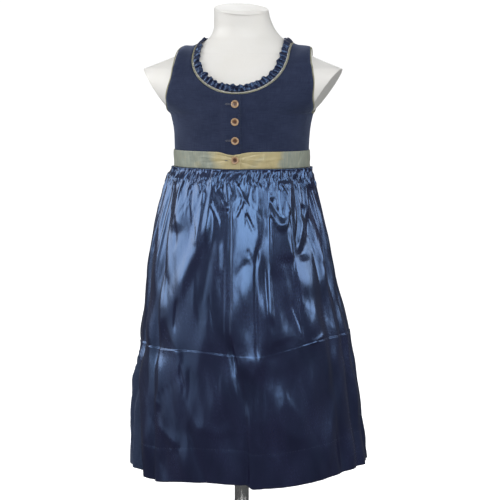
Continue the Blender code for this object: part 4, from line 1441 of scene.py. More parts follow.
@dataclass
class Buttons:
    """Horn buttons with a raised rim, two holes and thread, and the worked buttonholes behind them."""

    radius: float = 0.0057
    heights: tuple[float, ...] = (0.7055, 0.6808, 0.6535, 0.6252)
    band_top: float = 0.6345
    bodice_seat: float = 0.0053
    band_seat: float = 0.0081
    band_front: float = 0.0077
    rim: tuple[Place, ...] = (
        (0.74, 0), (0.86, 0.0002), (0.95, 0.0007), (0.99, 0.0012), (1, 0.0017), (0.985, 0.0021),
        (0.95, 0.0024), (0.9, 0.00265), (0.84, 0.0027), (0.78, 0.00265), (0.72, 0.0024), (0.66, 0.002),
        (0.6, 0.00175), (0.52, 0.0016), (0.4, 0.00152), (0.2, 0.0015),
    )

    def seat(self, height: float) -> Pair:
        """Gives the middle of a button's foot and the direction it faces."""
        angle = math.degrees(math.asin(CUT.shift / float(FIGURE.half_width(np.array(height)))))
        out = self.band_seat if height < self.band_top else self.bodice_seat
        place = FIGURE.moved_out(angle, height, out)
        return place, unit(place - FIGURE.at(np.array(angle), np.array(height)))

    def lay(self, piece: Any, place: Array, facing: Array) -> Any:
        """Stands a piece made about Z on its seat, with its place in its mesh."""
        away = Vector(facing)
        right = Vector((0.0, 0.0, 1.0)).cross(away).normalized()
        spots = vertices_of(piece) @ np.array([right, away.cross(right), away]) + place
        piece.data.vertices.foreach_set("co", spots.ravel())
        piece.data.update()
        return piece

    def button(self, number: int, finishes: Finishes) -> Any:
        """Turns one button with its dished face."""
        profile = [(self.radius * share, height) for share, height in self.rim]
        return turned(f"horn_button_{number}", profile, finishes.horn, 48, 60.0)

    def thread_bar(self, number: int, finishes: Finishes) -> Any:
        """Makes the sewing thread that shows upright in the dish, over its two holes."""
        half, thick = 0.0017, 0.00055
        profile = [(thick * math.sqrt(max(0.02, 1 - s**2)), s * half) for s in np.linspace(-1.0, 1.0, 11)]
        bar = turned(f"button_thread_{number}", profile, finishes.brown_thread, 12, 180.0)
        x, y, z = vertices_of(bar).T
        bow = 0.00165 + 0.0003 * (1 - (z / half) ** 2)
        bar.data.vertices.foreach_set("co", np.stack([x, z, y * 0.7 + bow], 1).ravel())
        bar.data.flip_normals()
        return bar

    def buttonhole(self, number: int, height: float, stitching: Stitching, thread: Finish) -> Any:
        """Works the buttonhole: close stitches across a level slit that starts behind the button."""
        half, reach = 0.0008, 0.0125
        turn = np.linspace(0.5 * math.pi, 1.5 * math.pi, 7)
        start = CUT.shift - 0.0005
        side = np.linspace(start, start - reach, 20)
        x = joined(side, start - reach + half * np.cos(turn), side[::-1])
        z = joined(np.full(20, half), half * np.sin(turn), np.full(20, -half)) + height + 0.0002
        angle = np.degrees(np.arcsin((x - FIGURE.read("shift_x", z)) / FIGURE.half_width(z)))
        on_bodice = CUT.out + CUT.cloth + CUT.overlap_lift(CUT.shift - x)
        out = self.band_front if height < self.band_top else on_bodice
        path = path_object("buttonhole_path", FIGURE.line_with_facing(angle, z, out + 0.0001))
        sizes = {"Pitch": 0.00042, "Length": 0.0013, "Width": 0.00038, "Turn": math.pi / 2, "Wander": 0.25}
        return stitching.grow(f"buttonhole_{number}", path, Seed=20 + number, Thread=thread, **sizes)

    def build(self, finishes: Finishes, stitching: Stitching) -> None:
        """Makes every button, its thread and its buttonhole."""
        for number, height in enumerate(self.heights, 1):
            place, facing = self.seat(height)
            declare(self.lay(self.button(number, finishes), place, facing), Slot.HORN, f"button_{number}")
            declare(self.lay(self.thread_bar(number, finishes), place, facing), Slot.HORN)
            declare(self.buttonhole(number, height, stitching, finishes.hole_thread), Slot.LINEN)


@dataclass(frozen=True)
class Layer:
    """At one height: the depths of the small and middling gathers, and the share of the long folds."""

    height: float
    gather: float
    crumple: float
    fold: float


@dataclass
class SkirtShape:
    """What the skirt and apron share: the outline over their folds, the hem and the gathers' depths."""

    top: float = 0.6122 - SEAM_GAP
    cloth: float = 0.0011
    deepest: float = 0.0105
    roundness: float = 0.92
    far_out: float = 0.05
    outline: Contour = field(
        default_factory=lambda: Contour(
            (155, 183, 146, 148, 11),
            (178, 182.3, 145, 147, 10.3),
            (223, 179, 142, 143, 7.5),
            (285, 173.1, 137, 137, 5.7),
            (322, 167.8, 133, 132, 5.5),
            (342, 162.5, 130.8, 128, 7),
            (366, 160, 128.1, 126, 6.2),
            (409, 151.8, 122.3, 119, 3),
            (470, 141.1, 112, 110, -1.1),
            (515, 132.6, 105, 102, -1.6),
            (561, 120.3, 95.5, 92.5, -2.2),
            (583, 113.6, 89, 86, -2.1),
            (598, 108.4, 83.5, 81, -2),
            (608.7, 103.8, 78, 75),
            (613, 103.8, 78, 75),
        )
    )
    layers: tuple[Layer, ...] = (
        Layer(0.155, 0.0, 0.0, 1.0),
        Layer(0.3, 0.0, 0.0, 1.0),
        Layer(0.409, 0.0, 0.0003, 0.95),
        Layer(0.47, 0.0, 0.001, 0.8),
        Layer(0.515, 0.0003, 0.0016, 0.6),
        Layer(0.561, 0.001, 0.0013, 0.32),
        Layer(0.583, 0.0013, 0.0008, 0.15),
        Layer(0.598, 0.0011, 0.0003, 0.04),
        Layer(0.6087, 0.0007, 0.0, 0.0),
        Layer(0.613, 0.0007, 0.0, 0.0),
    )
    hem: tuple[Place, ...] = (
        (-90, 0.153), (-69, 0.1545), (-43, 0.151), (-20, 0.1595), (-4, 0.1612), (4, 0.1612),
        (6.5, 0.1605), (9.5, 0.1553), (12, 0.155), (20, 0.1558), (40, 0.163), (70, 0.17),
        (100, 0.1665), (140, 0.161), (180, 0.157), (225, 0.1545), (270, 0.153),
    )
    apron_left: tuple[Place, ...] = (
        (0.155, -52.5), (0.223, -54.5), (0.265, -57), (0.3, -62),
        (0.342, -75), (0.366, -86), (0.45, -89), (0.6087, -89),
    )
    apron_right: tuple[Place, ...] = (
        (0.155, 100), (0.223, 101), (0.265, 102), (0.342, 103), (0.45, 104), (0.6087, 104),
    )

    def read(self, name: str, height: Array) -> Array:
        """Reads a depth or share from the layers."""
        return curve_through([(layer.height, getattr(layer, name)) for layer in self.layers], height)

    def hem_height(self, angle: Array) -> Array:
        """Tells how high the hem hangs."""
        return curve_through(self.hem, (np.asarray(angle, float) + 90.0) % 360.0 - 90.0)

    def small(self, height: Array) -> Array:
        """Tells how deep the small and middling gathers are together."""
        return self.read("gather", height) + self.read("crumple", height)

    def room(self, height: Array) -> Array:
        """Tells how far in the outer cloth may dip before it meets the cloth under it."""
        return 2 * self.small(height) + self.deepest * self.read("fold", height)

    def folded(self, folds: Iterable[Crease], angle: Array, height: Array, radius: Array) -> Array:
        """Gives the long folds' relief, with the cloth drawn in near the waist for the gathers."""
        return relief(folds, angle, height, radius) * self.read("fold", height) - self.small(height) * 1.3


@dataclass(frozen=True)
class Gathering:
    """Uneven gathers at the waist, each a ridge of its own length that leans a little."""

    seed: int
    first: float
    last: float
    count: int
    rise: tuple[float, float]
    width: tuple[float, float]
    length: tuple[float, float]
    start: float = 0.6125

    def creases(self) -> list[Crease]:
        """Lays the gathers out side by side, a little unevenly."""
        rng = np.random.default_rng(self.seed)
        step = (self.last - self.first) / self.count
        made = []
        for number in range(self.count):
            angle = self.first + step * (number + 0.5 + rng.uniform(-0.32, 0.32))
            length = rng.uniform(*self.length)
            lean = rng.uniform(-0.7, 0.7) * step
            width = rng.uniform(*self.width)
            places = ((angle, self.start), (angle + lean, self.start - length))
            rise = rng.uniform(*self.rise)
            made.append(Crease(places, rise, width, width * rng.uniform(0.7, 1.3), 0.006, length * 0.8))
        return made


@dataclass(frozen=True)
class Scatter:
    """Small crinkles strewn over a patch, some raised and some sunk, each with its own slant."""

    seed: int
    angles: Place
    heights: Place
    count: int
    rise: tuple[float, float]
    width: tuple[float, float]
    length: tuple[float, float]
    slant: float

    def creases(self) -> list[Crease]:
        """Strews the crinkles."""
        rng = np.random.default_rng(self.seed)
        made = []
        for number in range(self.count):
            angle, top = rng.uniform(*self.angles), rng.uniform(*self.heights)
            length = rng.uniform(*self.length)
            across = math.degrees(rng.normal(0.0, self.slant) * length / 0.11)
            rise = rng.uniform(*self.rise) * (1 if number % 2 else -1)
            width = rng.uniform(*self.width)
            places = ((angle, top), (angle + across, top - length))
            after = width * rng.uniform(0.5, 1.8)
            made.append(Crease(places, rise, width, after, length * 0.4, length * 0.5))
        return made


SKIRT = SkirtShape()


@dataclass
class Apron:
    """The satin apron: gathers, folds, the crease from its packet and a stitched hem."""

    columns: int = 410
    length: float = 0.262
    left_hold: float = -18.0
    right_hold: float = 80.0
    left_edge: float = -89.0
    right_edge: float = 104.0
    crease_height: tuple[Place, ...] = (
        (-89, 0.349), (-48.8, 0.347), (-16.5, 0.35), (3.8, 0.346),
        (16, 0.346), (31, 0.355), (46.5, 0.363), (104, 0.365),
    )
    crease_shows: tuple[Place, ...] = ((-90, 1), (-2, 1), (4, 0.15), (38, 0.2), (44, 1), (105, 1))
    hem_turn: float = 0.05
    folds: tuple[Crease, ...] = (
        straight(-72, -62, -6, 10.5),
        upright(
            (-56.5, 609, -53, 557, -50.5, 525, -48.5, 493, -48.2, 418, -48.2, 359, -44.2, 271, -43.2, 150),
            -6.2, 15, 3.6,
        ),
        upright((-0.2, 609, 1.4, 583, 2.4, 540, 2.8, 476, 2.4, 426, 1.2, 363, 3.8, 338), 4.2, 1.8, 60),
        upright((0.6, 352, 3.8, 325, 6.8, 284, 7.6, 227, 6.6, 150), -3.4, 6, 3.8, 25),
        upright((30.2, 600, 30, 583, 28.2, 540, 27.2, 516, 26.4, 480), 3.4, 1.8, 26),
        upright((18, 340, 17, 300, 15.2, 150), -3.4, 5, 26, 30),
        upright((-1.5, 590, 1, 540, 1.4, 470, 0.6, 380), 0.9, 12, 1.8),
        upright((-4.2, 590, -2.8, 540, -2.6, 470, -4, 370), -0.8, 10, 3),
        upright((26.8, 512, 25.6, 476, 24.4, 441, 23.6, 404), 2.2, 7, 1.6, 4, 14),
        upright((22.4, 470, 21.6, 440, 20.6, 370), -1, 2.8, 2.8, 20, 10),
        upright((18.2, 490, 17, 476, 15.8, 441, 14.4, 398, 13.6, 363), -1.1, 2.8, 2.2),
        straight(61, 59, -4, 13.5, first=0.001),
        straight(75, 73, -6, 11),
        straight(88, 86, -8, 12),
        straight(99, 96, -6, 11),
    )
    upper: tuple[Crease, ...] = (
        upright((-49.5, 594, -44, 562, -40, 535), 3, 14, 19, 8, 18),
        level((-44, 392, -37.5, 414, -32, 436, -26, 466, -20, 498, -15, 528), 4, 30, 42, 20, 10),
        upright((-42.5, 536, -38.5, 505), -1, 4.5, 4.5, 10, 14),
        upright((-31, 575, -30, 562, -26.3, 537, -22.5, 517), -1.1, 1.6, 2.2, 8, 12),
        upright((-22, 600, -20.5, 555, -20.8, 512), 1.8, 7, 4, 6, 14),
        upright((-13.5, 607, -12, 583, -7, 572, -2, 558), 1.8, 7, 5, 4, 5),
        upright((-13, 562, -6.8, 538), 1, 2, 2, 6, 10),
        upright((-8, 592, -2.5, 566), -1.6, 4, 4, 6, 6),
        upright((-6, 500, -5, 470), 0.8, 6, 5, 12, 12),
        upright((20.5, 590, 20, 540, 18.8, 512, 15.5, 486), 1.2, 12, 3.6, 10, 10),
        upright((5.5, 592, 8, 580, 13.5, 562), -1, 1.8, 2.4, 6, 6),
        upright((9.5, 566, 5.5, 548), -1, 3, 3, 6, 6),
        upright((12.5, 545, 16.5, 524), -1.2, 2.6, 2.6, 6, 4),
        level((13, 492, 15, 482, 18, 488), -0.8, 6, 5, 6, 4),
        level((29.5, 548, 32, 534, 36.5, 530, 40.5, 537, 43, 552), 2.2, 5, 13, 4, 4),
        upright((31.5, 565, 37, 542), -1.8, 5, 5, 8, 6),
        upright((36.8, 594, 36, 556), -1.3, 2, 2.6, 6, 8),
        upright((48, 590, 45.2, 562, 43, 540, 40.8, 512, 39.5, 490), 3, 20, 8, 6, 12),
        upright((55, 597, 53.5, 570, 52, 545, 46, 512), -2, 2.6, 5, 8, 12),
        upright((59, 556, 57.5, 544), -2.4, 4, 5, 5, 5),
        upright((78, 578, 67, 545, 56, 512, 50, 490), -3.8, 10, 16, 12, 12),
        upright((42.2, 530, 42, 496, 41, 439, 40.8, 389), -0.8, 1.4, 2.6),
        level((42, 460, 48, 448, 54, 444, 62, 452, 70, 468), 2.6, 24, 34, 8, 10),
        upright((72, 507, 69, 480), 1.8, 7, 7, 12, 12),
        upright((-32.5, 417, -33.5, 385), -1, 3, 3, 8, 8),
        level((24, 368, 28, 371, 32, 374), 1.2, 5, 11, 10, 10),
        upright((37, 415, 39.5, 385), -1, 2.4, 3, 10, 6),
        upright((82, 598, 81, 550, 80, 470), 2.6, 9, 7, 6, 60),
        upright((94, 598, 93, 540, 92, 490), 2.4, 8, 7, 6, 60),
        upright((-64, 598, -62, 550, -58, 480), 2, 9, 7, 6, 60),
        upright((-80, 598, -79, 550, -76, 480), 2.6, 9, 8, 6, 60),
    )
    lower: tuple[Crease, ...] = (
        upright((22, 318, 25, 290, 31, 250, 38, 205, 43, 170), 3, 28, 16, 50),
        level((9, 262, 24, 252, 40, 232), 4.2, 35, 50, 30),
        level((2, 352, 9, 348, 14, 350), -1, 25, 20, 10, 10),
        upright((-44, 340, -40, 300, -41, 266), 2, 3, 10, 22, 6),
        upright((-30, 345, -27.5, 325), 1.4, 7, 7, 6, 14),
        upright((-27, 322, -24, 296), -1.2, 3, 4, 10, 12),
        level((-38, 232, -34, 222, -29, 214), 1.4, 7, 12, 10, 14),
        level((-12, 240, -6, 234, -1, 238), 1.2, 7, 12, 20, 12),
        upright((11.4, 320, 10, 230, 9, 150), 1.6, 4, 3.6, 20, 20),
        level((46, 363, 50, 366, 54, 370), 1.2, 1.8, 6, 10, 10),
        upright((62, 330, 60, 260, 66, 190), 1.8, 11, 11, 30),
        upright((80, 300, 79, 220, 80, 150), 2.2, 11, 11, 30),
        upright((-20, 230, -16, 190, -12, 155), -1.4, 5, 8, 20, 20),
    )
    fine: Ripple = Ripple(5, 0.006, 0.02, 0.03, 0.11, 18)
    middling: Ripple = Ripple(6, 0.018, 0.05, 0.06, 0.24)
    broad: Ripple = Ripple(8, 0.05, 0.13, 0.08, 0.3)
    gathers: tuple[Gathering, ...] = (
        Gathering(41, -89, 104, 74, (0.0005, 0.0016), (0.0014, 0.0024), (0.006, 0.018)),
        Gathering(45, -89, 104, 30, (0.0005, 0.0015), (0.003, 0.0056), (0.014, 0.038)),
        Gathering(42, -89, -52, 6, (0.001, 0.0026), (0.0035, 0.0065), (0.05, 0.11)),
        Gathering(43, 66, 104, 6, (0.001, 0.0026), (0.0035, 0.0065), (0.05, 0.11)),
    )
    scatters: tuple[Scatter, ...] = (
        Scatter(71, (-86, 101), (0.588, 0.611), 170, (0.0003, 0.0009), (0.001, 0.0018), (0.004, 0.013), 0.4),
        Scatter(72, (-86, 101), (0.545, 0.598), 80, (0.0001, 0.0004), (0.0014, 0.003), (0.01, 0.03), 0.25),
        Scatter(73, (-86, 101), (0.38, 0.56), 70, (0.0001, 0.0004), (0.002, 0.0045), (0.012, 0.045), 0.45),
        Scatter(74, (-80, 100), (0.18, 0.34), 50, (0.0002, 0.0005), (0.002, 0.005), (0.012, 0.05), 0.6),
    )

    def shares(self) -> tuple[Array, Array, Array]:
        """Sets the rows to the crease, from there to the hem's stitches, and to the hem, as shares."""
        steps = ((0.0, 0.024, 0.0015), (0.024, 0.07, 0.0026), (0.07, 0.235, 0.0048))
        gathered = [np.arange(*step) for step in steps]
        tail = self.length - np.array([0.02, 0.016, 0.012, 0.0085, 0.0055, 0.003, 0.0014, 0.0007])
        first = joined(*gathered, tail) / self.length
        past_crease = (0.0, 0.005, 0.01, 0.025, 0.05, 0.085)
        second = joined(past_crease, np.linspace(0.13, 0.96, 22), [0.985])
        third = joined([0.0, 0.035], np.linspace(0.1, 0.94, 9), [0.975, 1.0])
        return first, second, third

    def heights(self, angle: Array, pitch: Array) -> Array:
        """Gives each point's height, from its angle and its share of the way down."""
        crease = curve_through(self.crease_height, angle)
        hem = SKIRT.hem_height(angle)
        stitch = hem + self.hem_turn
        first = SKIRT.top + (crease - SKIRT.top) * np.clip(pitch, 0, 1)
        second = (stitch - crease) * np.clip(pitch - 1, 0, 1)
        third = (hem - stitch) * np.clip(pitch - 2, 0, 1)
        return first + second + third

    def angles(self, height: Array) -> Array:
        """Sets the columns, which close up towards the side edges as these move in."""
        plain = np.linspace(self.left_edge, self.right_edge, self.columns)[None, :]
        left, right = curve_through(SKIRT.apron_left, height), curve_through(SKIRT.apron_right, height)
        share_left = (plain - self.left_edge) / (self.left_hold - self.left_edge)
        share_right = (plain - self.right_hold) / (self.right_edge - self.right_hold)
        to_left = share_left * (self.left_hold - left) + left
        to_right = share_right * (right - self.right_hold) + self.right_hold
        held = np.where(plain > self.right_hold, to_right, plain)
        return np.where(plain < self.left_hold, to_left, held)

    def packed(self, angle: Array, height: Array) -> Array:
        """Gives the ledge of the crease from the apron's packet, which shows more at some angles."""
        below = curve_through(self.crease_height, angle) - height
        ledge = ease((below + 0.0007) / 0.0014)
        under = 0.0006 * ledge * np.exp(-np.maximum(below, 0) / 0.02)
        above = 0.0005 * (1 - ledge) * np.exp(-np.maximum(-below, 0) / 0.012)
        return np.interp(angle, *zip(*self.crease_shows)) * (under - above)

    def reliefs(self, angle: Array, height: Array) -> Array:
        """Adds up gathers, folds, creases and crinkles, kept clear of the cloth underneath."""
        radius = SKIRT.outline.half_width(height) * SKIRT.roundness
        along = np.radians(angle) * radius
        down = SKIRT.top - height
        drawn = relief(self.upper + self.lower, angle, height, radius)
        small = sum(relief(g.creases(), angle, height, radius) for g in self.gathers + self.scatters)
        wrinkled = self.fine.over(along, height) * (0.00003 + 0.0001 * ease((0.03 - down) / 0.026))
        rolling = 0.0003 * self.middling.over(along, height) * ease(down / 0.05)
        sway = 0.0011 * self.broad.over(along, height) * ease((down - 0.1) / 0.12)
        hemmed = 0.0002 * ease((SKIRT.hem_height(angle) + self.hem_turn - height) / 0.002)
        folded = SKIRT.folded(self.folds, angle, height, radius)
        out = folded + drawn + small + wrinkled + rolling + sway + self.packed(angle, height) + hemmed
        floor = -(SKIRT.room(height) + 0.0003)
        return np.clip(floor + self.soft_above(out - floor), None, 0.0055)

    @staticmethod
    def soft_above(x: Array) -> Array:
        """Keeps numbers above zero without a hard corner."""
        soft = 0.001
        return soft * np.logaddexp(0.0, x / soft)

    def build(self, finishes: Finishes, stitching: Stitching) -> None:
        """Makes the apron and reports it."""
        first, second, third = self.shares()
        pitch = joined(first, 1 + second, 2 + third)[:, None]
        angle = self.angles(self.heights(np.zeros((1, 1)), pitch))
        height = self.heights(angle, pitch)
        points = SKIRT.outline.moved_out(angle, height, self.reliefs(angle, height))
        sheet = cloth_grid("satin_apron", points[::-1], finishes.satin, SKIRT.cloth, outward=False)
        declare(sheet, Slot.SATIN, "apron")
        row = len(first) + len(second)
        facing = SKIRT.outline.moved_out(angle[row], height[row], SKIRT.far_out) - points[row]
        stitches = stitching.hem("apron_hem_stitches", 9, finishes.navy_thread, (points[row], facing))
        declare(stitches, Slot.SATIN)


@dataclass
class Skirt:
    """The navy skirt's front and back widths, which show beside and behind the apron."""

    back_columns: int = 400
    seen_columns: int = 165
    hidden_columns: int = 55
    rows_at_waist: int = 26
    rows_below: int = 62
    hem_turn: float = 0.034
    folds: tuple[Crease, ...] = (
        straight(112, 110, -8.5, 12),
        straight(126, 125, -6.5, 10.5),
        straight(141, 140, -9.5, 13),
        straight(157, 155, -6, 10),
        straight(170, 171, -9, 12),
        straight(186, 187, -7, 10.5),
        straight(201, 203, -9.5, 13),
        straight(217, 219, -6, 10),
        straight(232, 235, -9, 12),
        straight(250, 252, -7.5, 12),
        straight(288, 288, -6, 8.5),
    )
    fine: Ripple = Ripple(51, 0.01, 0.03, 0.04, 0.16)
    broad: Ripple = Ripple(52, 0.035, 0.11, 0.08, 0.3)
    gathers: tuple[Gathering, ...] = (
        Gathering(61, 92.0, 268.0, 48, (0.0012, 0.003), (0.0018, 0.0032), (0.012, 0.045)),
        Gathering(62, 92.0, 268.0, 22, (0.001, 0.0026), (0.0035, 0.0065), (0.06, 0.15)),
    )

    def reliefs(self, angle: Array, height: Array) -> Array:
        """Gives the skirt's relief: well inside under the apron, and out to the outline beyond it."""
        around = np.where(angle < -45.0, angle + 360.0, angle)
        left = curve_through(SKIRT.apron_left, height + 0.025) + 360.0
        right = curve_through(SKIRT.apron_right, height)
        shown = ease((around - right - 3.0) / 10.0) * ease((left - 5.0 - around) / 10.0)
        radius = SKIRT.outline.half_width(height) * SKIRT.roundness
        along = np.radians(around) * radius
        down = SKIRT.top - height
        under = SKIRT.room(height) + SKIRT.cloth + 0.0008
        folded = SKIRT.folded(self.folds, around, height, radius)
        small = sum(relief(g.creases(), around, height, radius) for g in self.gathers)
        rough = 0.0004 * self.fine.over(along, height) * ease(down / 0.01)
        sway = 0.001 * self.broad.over(along, height) * ease((down - 0.03) / 0.12)
        stitch = SKIRT.hem_height(angle) + self.hem_turn
        hemmed = ease((stitch - height) / 0.0015) - np.exp(-(((height - stitch) / 0.0014) ** 2))
        out = np.clip(folded + small + rough + sway + 0.0003 * hemmed, -0.0115, 0.0035)
        return -under * (1 - shown) + out * shown

    def width(self, name: str, angles: Array, finish: Finish) -> tuple[Any, Array, Array]:
        """Makes one width of the skirt.

        Args:
            name: the piece's name.
            angles: the angles of its columns.
            finish: its material.

        Returns:
            The object, its hem's stitch line, and arrows that face away from the cloth there.
        """
        shares = np.linspace(0, 0.12, self.rows_at_waist), np.linspace(0.135, 1, self.rows_below)
        drop = np.concatenate(shares)[:, None]
        height = SKIRT.top + (SKIRT.hem_height(angles[None, :]) + 0.002 - SKIRT.top) * drop
        angle, height = np.broadcast_arrays(angles[None, :], height)
        points = SKIRT.outline.moved_out(angle, height, self.reliefs(angle, height))
        made = cloth_grid(name, points[::-1], finish, SKIRT.cloth, outward=False)
        stitch = SKIRT.hem_height(angles) + self.hem_turn
        line = SKIRT.outline.moved_out(angles, stitch, self.reliefs(angles, stitch))
        return made, line, SKIRT.outline.moved_out(angles, stitch, SKIRT.far_out) - line

    def build(self, finishes: Finishes, stitching: Stitching) -> None:
        """Makes both widths, their stitches, and reports them."""
        seam = math.degrees(0.00025 / 0.1)
        seen = np.linspace(-90.0 + seam, -40.0, self.seen_columns)
        front_angles = joined(seen, np.linspace(-40.0, 90.0 - seam, self.hidden_columns)[1:])
        back_angles = np.linspace(90.0 + seam, 270.0 - seam, self.back_columns)
        front, front_line, front_up = self.width("skirt_front_cloth", front_angles, finishes.skirt)
        back, back_line, back_up = self.width("skirt_back_cloth", back_angles, finishes.skirt)
        shown = front_line[: self.seen_columns], front_up[: self.seen_columns]
        lines = (back_line, back_up), shown
        stitches = stitching.hem("skirt_hem_stitches", 8, finishes.navy_thread, *lines)
        declare(front, Slot.LINEN, "skirt_front")
        declare(back, Slot.LINEN, "skirt_back")
        declare(stitches, Slot.LINEN)


@dataclass
class DressForm:
    """The smooth headless torso with its cut-off stumps and capped neck."""

    bottom: float = 0.345
    neck_cap: float = 0.846
    cap_tilt: float = math.radians(13.0)
    cap_turn: float = math.radians(20.0)
    corner: float = 62.0
    front_steps: int = 64
    side_steps: int = 24
    neck_seam: float = 0.7775

    def ring(self, height: float) -> Array:
        """Gives one level ring, cut off flat where it passes the stump faces."""
        face = float(stump_reach(height))
        cut = math.degrees(math.asin(min(1.0, face / float(FIGURE.half_width(height)))))
        if height >= STUMP_TIP:
            cut = self.corner + (cut - self.corner) * math.exp(-(height - STUMP_TIP) / 0.01)
        elif height <= UNDERARM:
            cut = self.corner
        front = np.linspace(-cut, cut, self.front_steps + 1)
        side = np.linspace(cut, 180.0 - cut, self.side_steps + 1)[1:-1]
        angle = joined(front, side, front + 180.0, side + 180.0)
        points = FIGURE.at(angle, np.full(len(angle), height))
        if UNDERARM < height < STUMP_TIP:
            limit = face + STUMP_FACE_TURN * (points[:, 1] - float(FIGURE.read("shift_y", height)))
            points[:, 0] = np.clip(points[:, 0], -limit, limit)
        seam = 0.0004 * math.exp(-(((height - self.neck_seam) / 0.0011) ** 2))
        points[:, :2] *= 1 - seam / 0.08
        return points

    def cap_ring(self, share: float, lift: float) -> Array:
        """Gives one ring of the slanted neck cap, shrunk to a share of the neck and lifted a little."""
        ring = self.ring(self.neck_cap + lift)
        ring[:, :2] = ring[:, :2] * share + ring[:, :2].mean(axis=0) * (1 - share)
        back = ring[:, 1] * math.cos(self.cap_turn) - ring[:, 0] * math.sin(self.cap_turn)
        ring[:, 2] += (back + 0.004) * math.tan(self.cap_tilt)
        return ring

    def build(self, finishes: Finishes) -> None:
        """Makes the torso."""
        rounded = (0.0, 0.0006, 0.002, 0.004, 0.007)
        groups = (
            self.bottom + np.array([*rounded, 0.011, 0.016]),
            np.linspace(0.366, UNDERARM - 0.004, 44),
            np.linspace(UNDERARM, STUMP_TIP, 41),
            np.linspace(STUMP_TIP + 0.0015, self.neck_seam - 0.003, 14),
            self.neck_seam + np.array([-0.002, -0.0012, -0.0006, 0.0, 0.0006, 0.0012, 0.002]),
            np.linspace(self.neck_seam + 0.004, self.neck_cap - 0.005, 36),
        )
        rings = [self.ring(float(height)) for height in np.concatenate(groups)]
        for ring, lift in zip(rings, rounded):
            ring[:, :2] *= 1 - 0.0035 * (1 - lift / rounded[-1]) ** 2 / 0.09
        cap = ((1.0, -0.0022), (0.996, -0.001), (0.985, -0.0003), (0.965, 0.0), (0.5, 0.0))
        rings += [self.cap_ring(share, lift) for share, lift in cap]
        torso = closed_rings("dress_form", rings, finishes.shell)
        torso.data.set_sharp_from_angle(angle=math.radians(28))
        declare(torso, Slot.FORM, "form_torso")


@dataclass
class Stand:
    """The plated stand: its four turned parts, as (radius, height) rows in millimetres."""

    base: tuple[Place, ...] = (
        (139, 0), (140, 1), (140, 5.6), (139.6, 6.8), (138.6, 7.7), (137.2, 8), (45, 8),
    )
    boss: tuple[Place, ...] = (
        (30, 8.3), (30, 11.7), (29.4, 12.3), (26.2, 13.5), (22.8, 16.1), (20, 19.3),
        (18.4, 25.3), (17.2, 32.3), (16.6, 37.3), (15.8, 38.1), (11.8, 38.3),
    )
    post: tuple[Place, ...] = ((10.6, 38.6), (11, 39.2), (11, 180), (11, 337.8), (10.6, 338.4))
    flange: tuple[Place, ...] = (
        (15, 338.7), (32.5, 338.7), (33.6, 339.3), (34, 340.2), (34, 344.4), (33.5, 344.7),
    )

    def build(self, finishes: Finishes) -> None:
        """Turns the four parts of the stand."""
        parts = (
            ("round_base", "base_plate", self.base, 160),
            ("turned_boss", "base_boss", self.boss, 96),
            ("stand_post", "post", self.post, 96),
            ("socket_flange", "form_flange", self.flange, 96),
        )
        for name, node, rows, segments in parts:
            profile = [(radius / 1000, height / 1000) for radius, height in rows]
            declare(turned(name, profile, finishes.steel, segments), Slot.STEEL, node)


def aimed(name: str, data: Any, place: Vector, target: Vector) -> Any:
    """Puts a camera or a light in the scene, facing a target.

    Args:
        name: its name.
        data: its camera or light data.
        place: where it stands.
        target: what it faces.

    Returns:
        The new object.
    """
    made = place_in_scene(name, data)
    made.location = place
    made.rotation_euler = (target - place).to_track_quat("-Z", "Y").to_euler()
    return made


def from_axis(azimuth: float, away: float, height: float) -> Vector:
    """Gives the place that lies so far from the figure's axis, in a direction round it."""
    return Vector((away * math.sin(azimuth), -away * math.cos(azimuth), height))


@dataclass(frozen=True)
class Softbox:
    """A soft light that faces the dress's waist, from a direction and a rise in degrees."""

    name: str
    azimuth: float
    rise: float
    away: float
    width: float
    height: float
    power: float
    mirrored: bool = True

    def hang(self) -> None:
        """Puts the light in the scene."""
        waist = Vector((0.0, 0.0, 0.5))
        turn, rise = math.radians(self.azimuth), math.radians(self.rise)
        place = waist + from_axis(turn, math.cos(rise) * self.away, self.away * math.sin(rise))
        data = bpy.data.lights.new(self.name, "AREA")
        data.shape = "RECTANGLE"
        data.size, data.size_y, data.energy = self.width, self.height, self.power
        aimed(self.name, data, place, waist).visible_glossy = self.mirrored


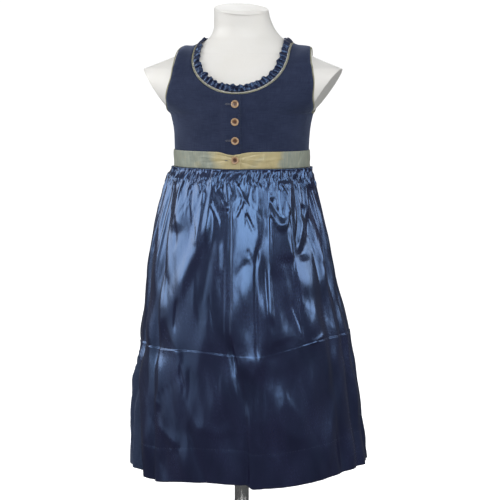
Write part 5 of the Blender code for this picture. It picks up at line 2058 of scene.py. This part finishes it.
@dataclass
class Studio:
    """The camera, a pale seamless floor that curves up all round, and soft lights."""

    distance: float = 2.3
    azimuth: float = math.radians(10.0)
    eye_height: float = 0.755
    aim_height: float = 0.485
    picture: float = 500.0
    focal_pixels: float = 1533.0
    axis_pixel: float = 241.75
    sensor: float = 36.0
    bend: float = 1.8
    bend_start: float = 4.2
    boxes: tuple[Softbox, ...] = (
        Softbox("front_box", 8, 25, 2.7, 1.35, 1.15, 27.5),
        Softbox("fill_box", -46, 20, 2.7, 0.9, 1.2, 3.7),
        Softbox("low_fill", -60, 0, 2.7, 2.2, 0.9, 3.2),
        Softbox("left_box", -78, 20, 2.6, 2.2, 1.25, 39),
        Softbox("bulge_box", 56, 31, 2.7, 1.9, 0.6, 15),
        Softbox("right_box", 84, 17, 2.7, 1.55, 0.56, 13.5),
        Softbox("back_box", 190, 32, 2.8, 1.2, 1.2, 9),
        Softbox("floor_bounce", 8, -52, 2.3, 1.6, 1, 16, mirrored=False),
    )

    def camera(self) -> None:
        """Sets the camera where the photograph was taken."""
        data = bpy.data.cameras.new("camera")
        data.sensor_width = self.sensor
        data.lens = self.sensor * self.focal_pixels / self.picture
        data.shift_x = (self.picture / 2 - self.axis_pixel) / self.picture
        data.clip_end = 60.0
        place = from_axis(self.azimuth, self.distance, self.eye_height)
        bpy.context.scene.camera = aimed("camera", data, place, Vector((0.0, 0.0, self.aim_height)))

    def floor(self) -> None:
        """Makes the floor and its curved rise."""
        bench = Bench("seamless paper")
        material = bench.dress(
            Base_Color=bench.mix(bench.solid_noise(1.5, 2), (0.86, 0.86, 0.86), (0.9, 0.9, 0.9)),
            Roughness=0.9,
            Specular_IOR_Level=0.1,
            Emission_Color=(1.0, 1.0, 1.0),
            Emission_Strength=0.8,
        )
        start, bend = self.bend_start, self.bend
        profile = [(0.02, 0.0), (0.5, 0.0), (1.5, 0.0), (start, 0.0)]
        turns = np.linspace(0.1, math.pi / 2, 14)
        profile += [(start + bend * math.sin(t), bend - bend * math.cos(t)) for t in turns]
        profile.append((start + bend, 4.5))
        rings = round_rings([(radius, height - 0.0002) for radius, height in profile], 96)
        paper = closed_rings("seamless_paper", rings, material, top=False)
        paper.data.flip_normals()
        paper.visible_diffuse = False
        paper.visible_glossy = False
        paper.visible_shadow = False

    def air(self) -> None:
        """Sets the surrounding light, brighter from above."""
        world = bpy.data.worlds.new("studio air")
        world.use_nodes = True
        air = Wiring(world.node_tree, "ShaderNode")
        height = air.put("SeparateXYZ", {0: air.put("TexCoord", output="Generated")}, "Z")
        background = world.node_tree.nodes["Background"]
        air.feed(background.inputs[0], (0.96, 0.98, 1.0))
        air.feed(background.inputs[1], air.put("MapRange", {0: height, 1: -0.3, 2: 0.9, 3: 0.09, 4: 0.36}))
        bpy.context.scene.world = world

    def build(self) -> None:
        """Sets camera, floor, lights and surrounding light."""
        self.camera()
        self.floor()
        for box in self.boxes:
            box.hang()
        self.air()
        bpy.context.scene.view_settings.view_transform = "Standard"
        bpy.context.scene.view_settings.look = "None"


def main() -> None:
    """Builds the studio and every part of the dress and its form."""
    logging.basicConfig(level=logging.INFO, format="%(name)s: %(message)s")
    Studio().build()
    finishes = Finishes()
    stitching = Stitching()
    cording = Cording()
    DressForm().build(finishes)
    Stand().build(finishes)
    Bodice().build(finishes, stitching)
    NeckTrim().build(finishes, cording)
    Waistband().build(finishes)
    Buttons().build(finishes, stitching)
    Skirt().build(finishes, stitching)
    Apron().build(finishes, stitching)


if __name__ == "__main__":
    main()
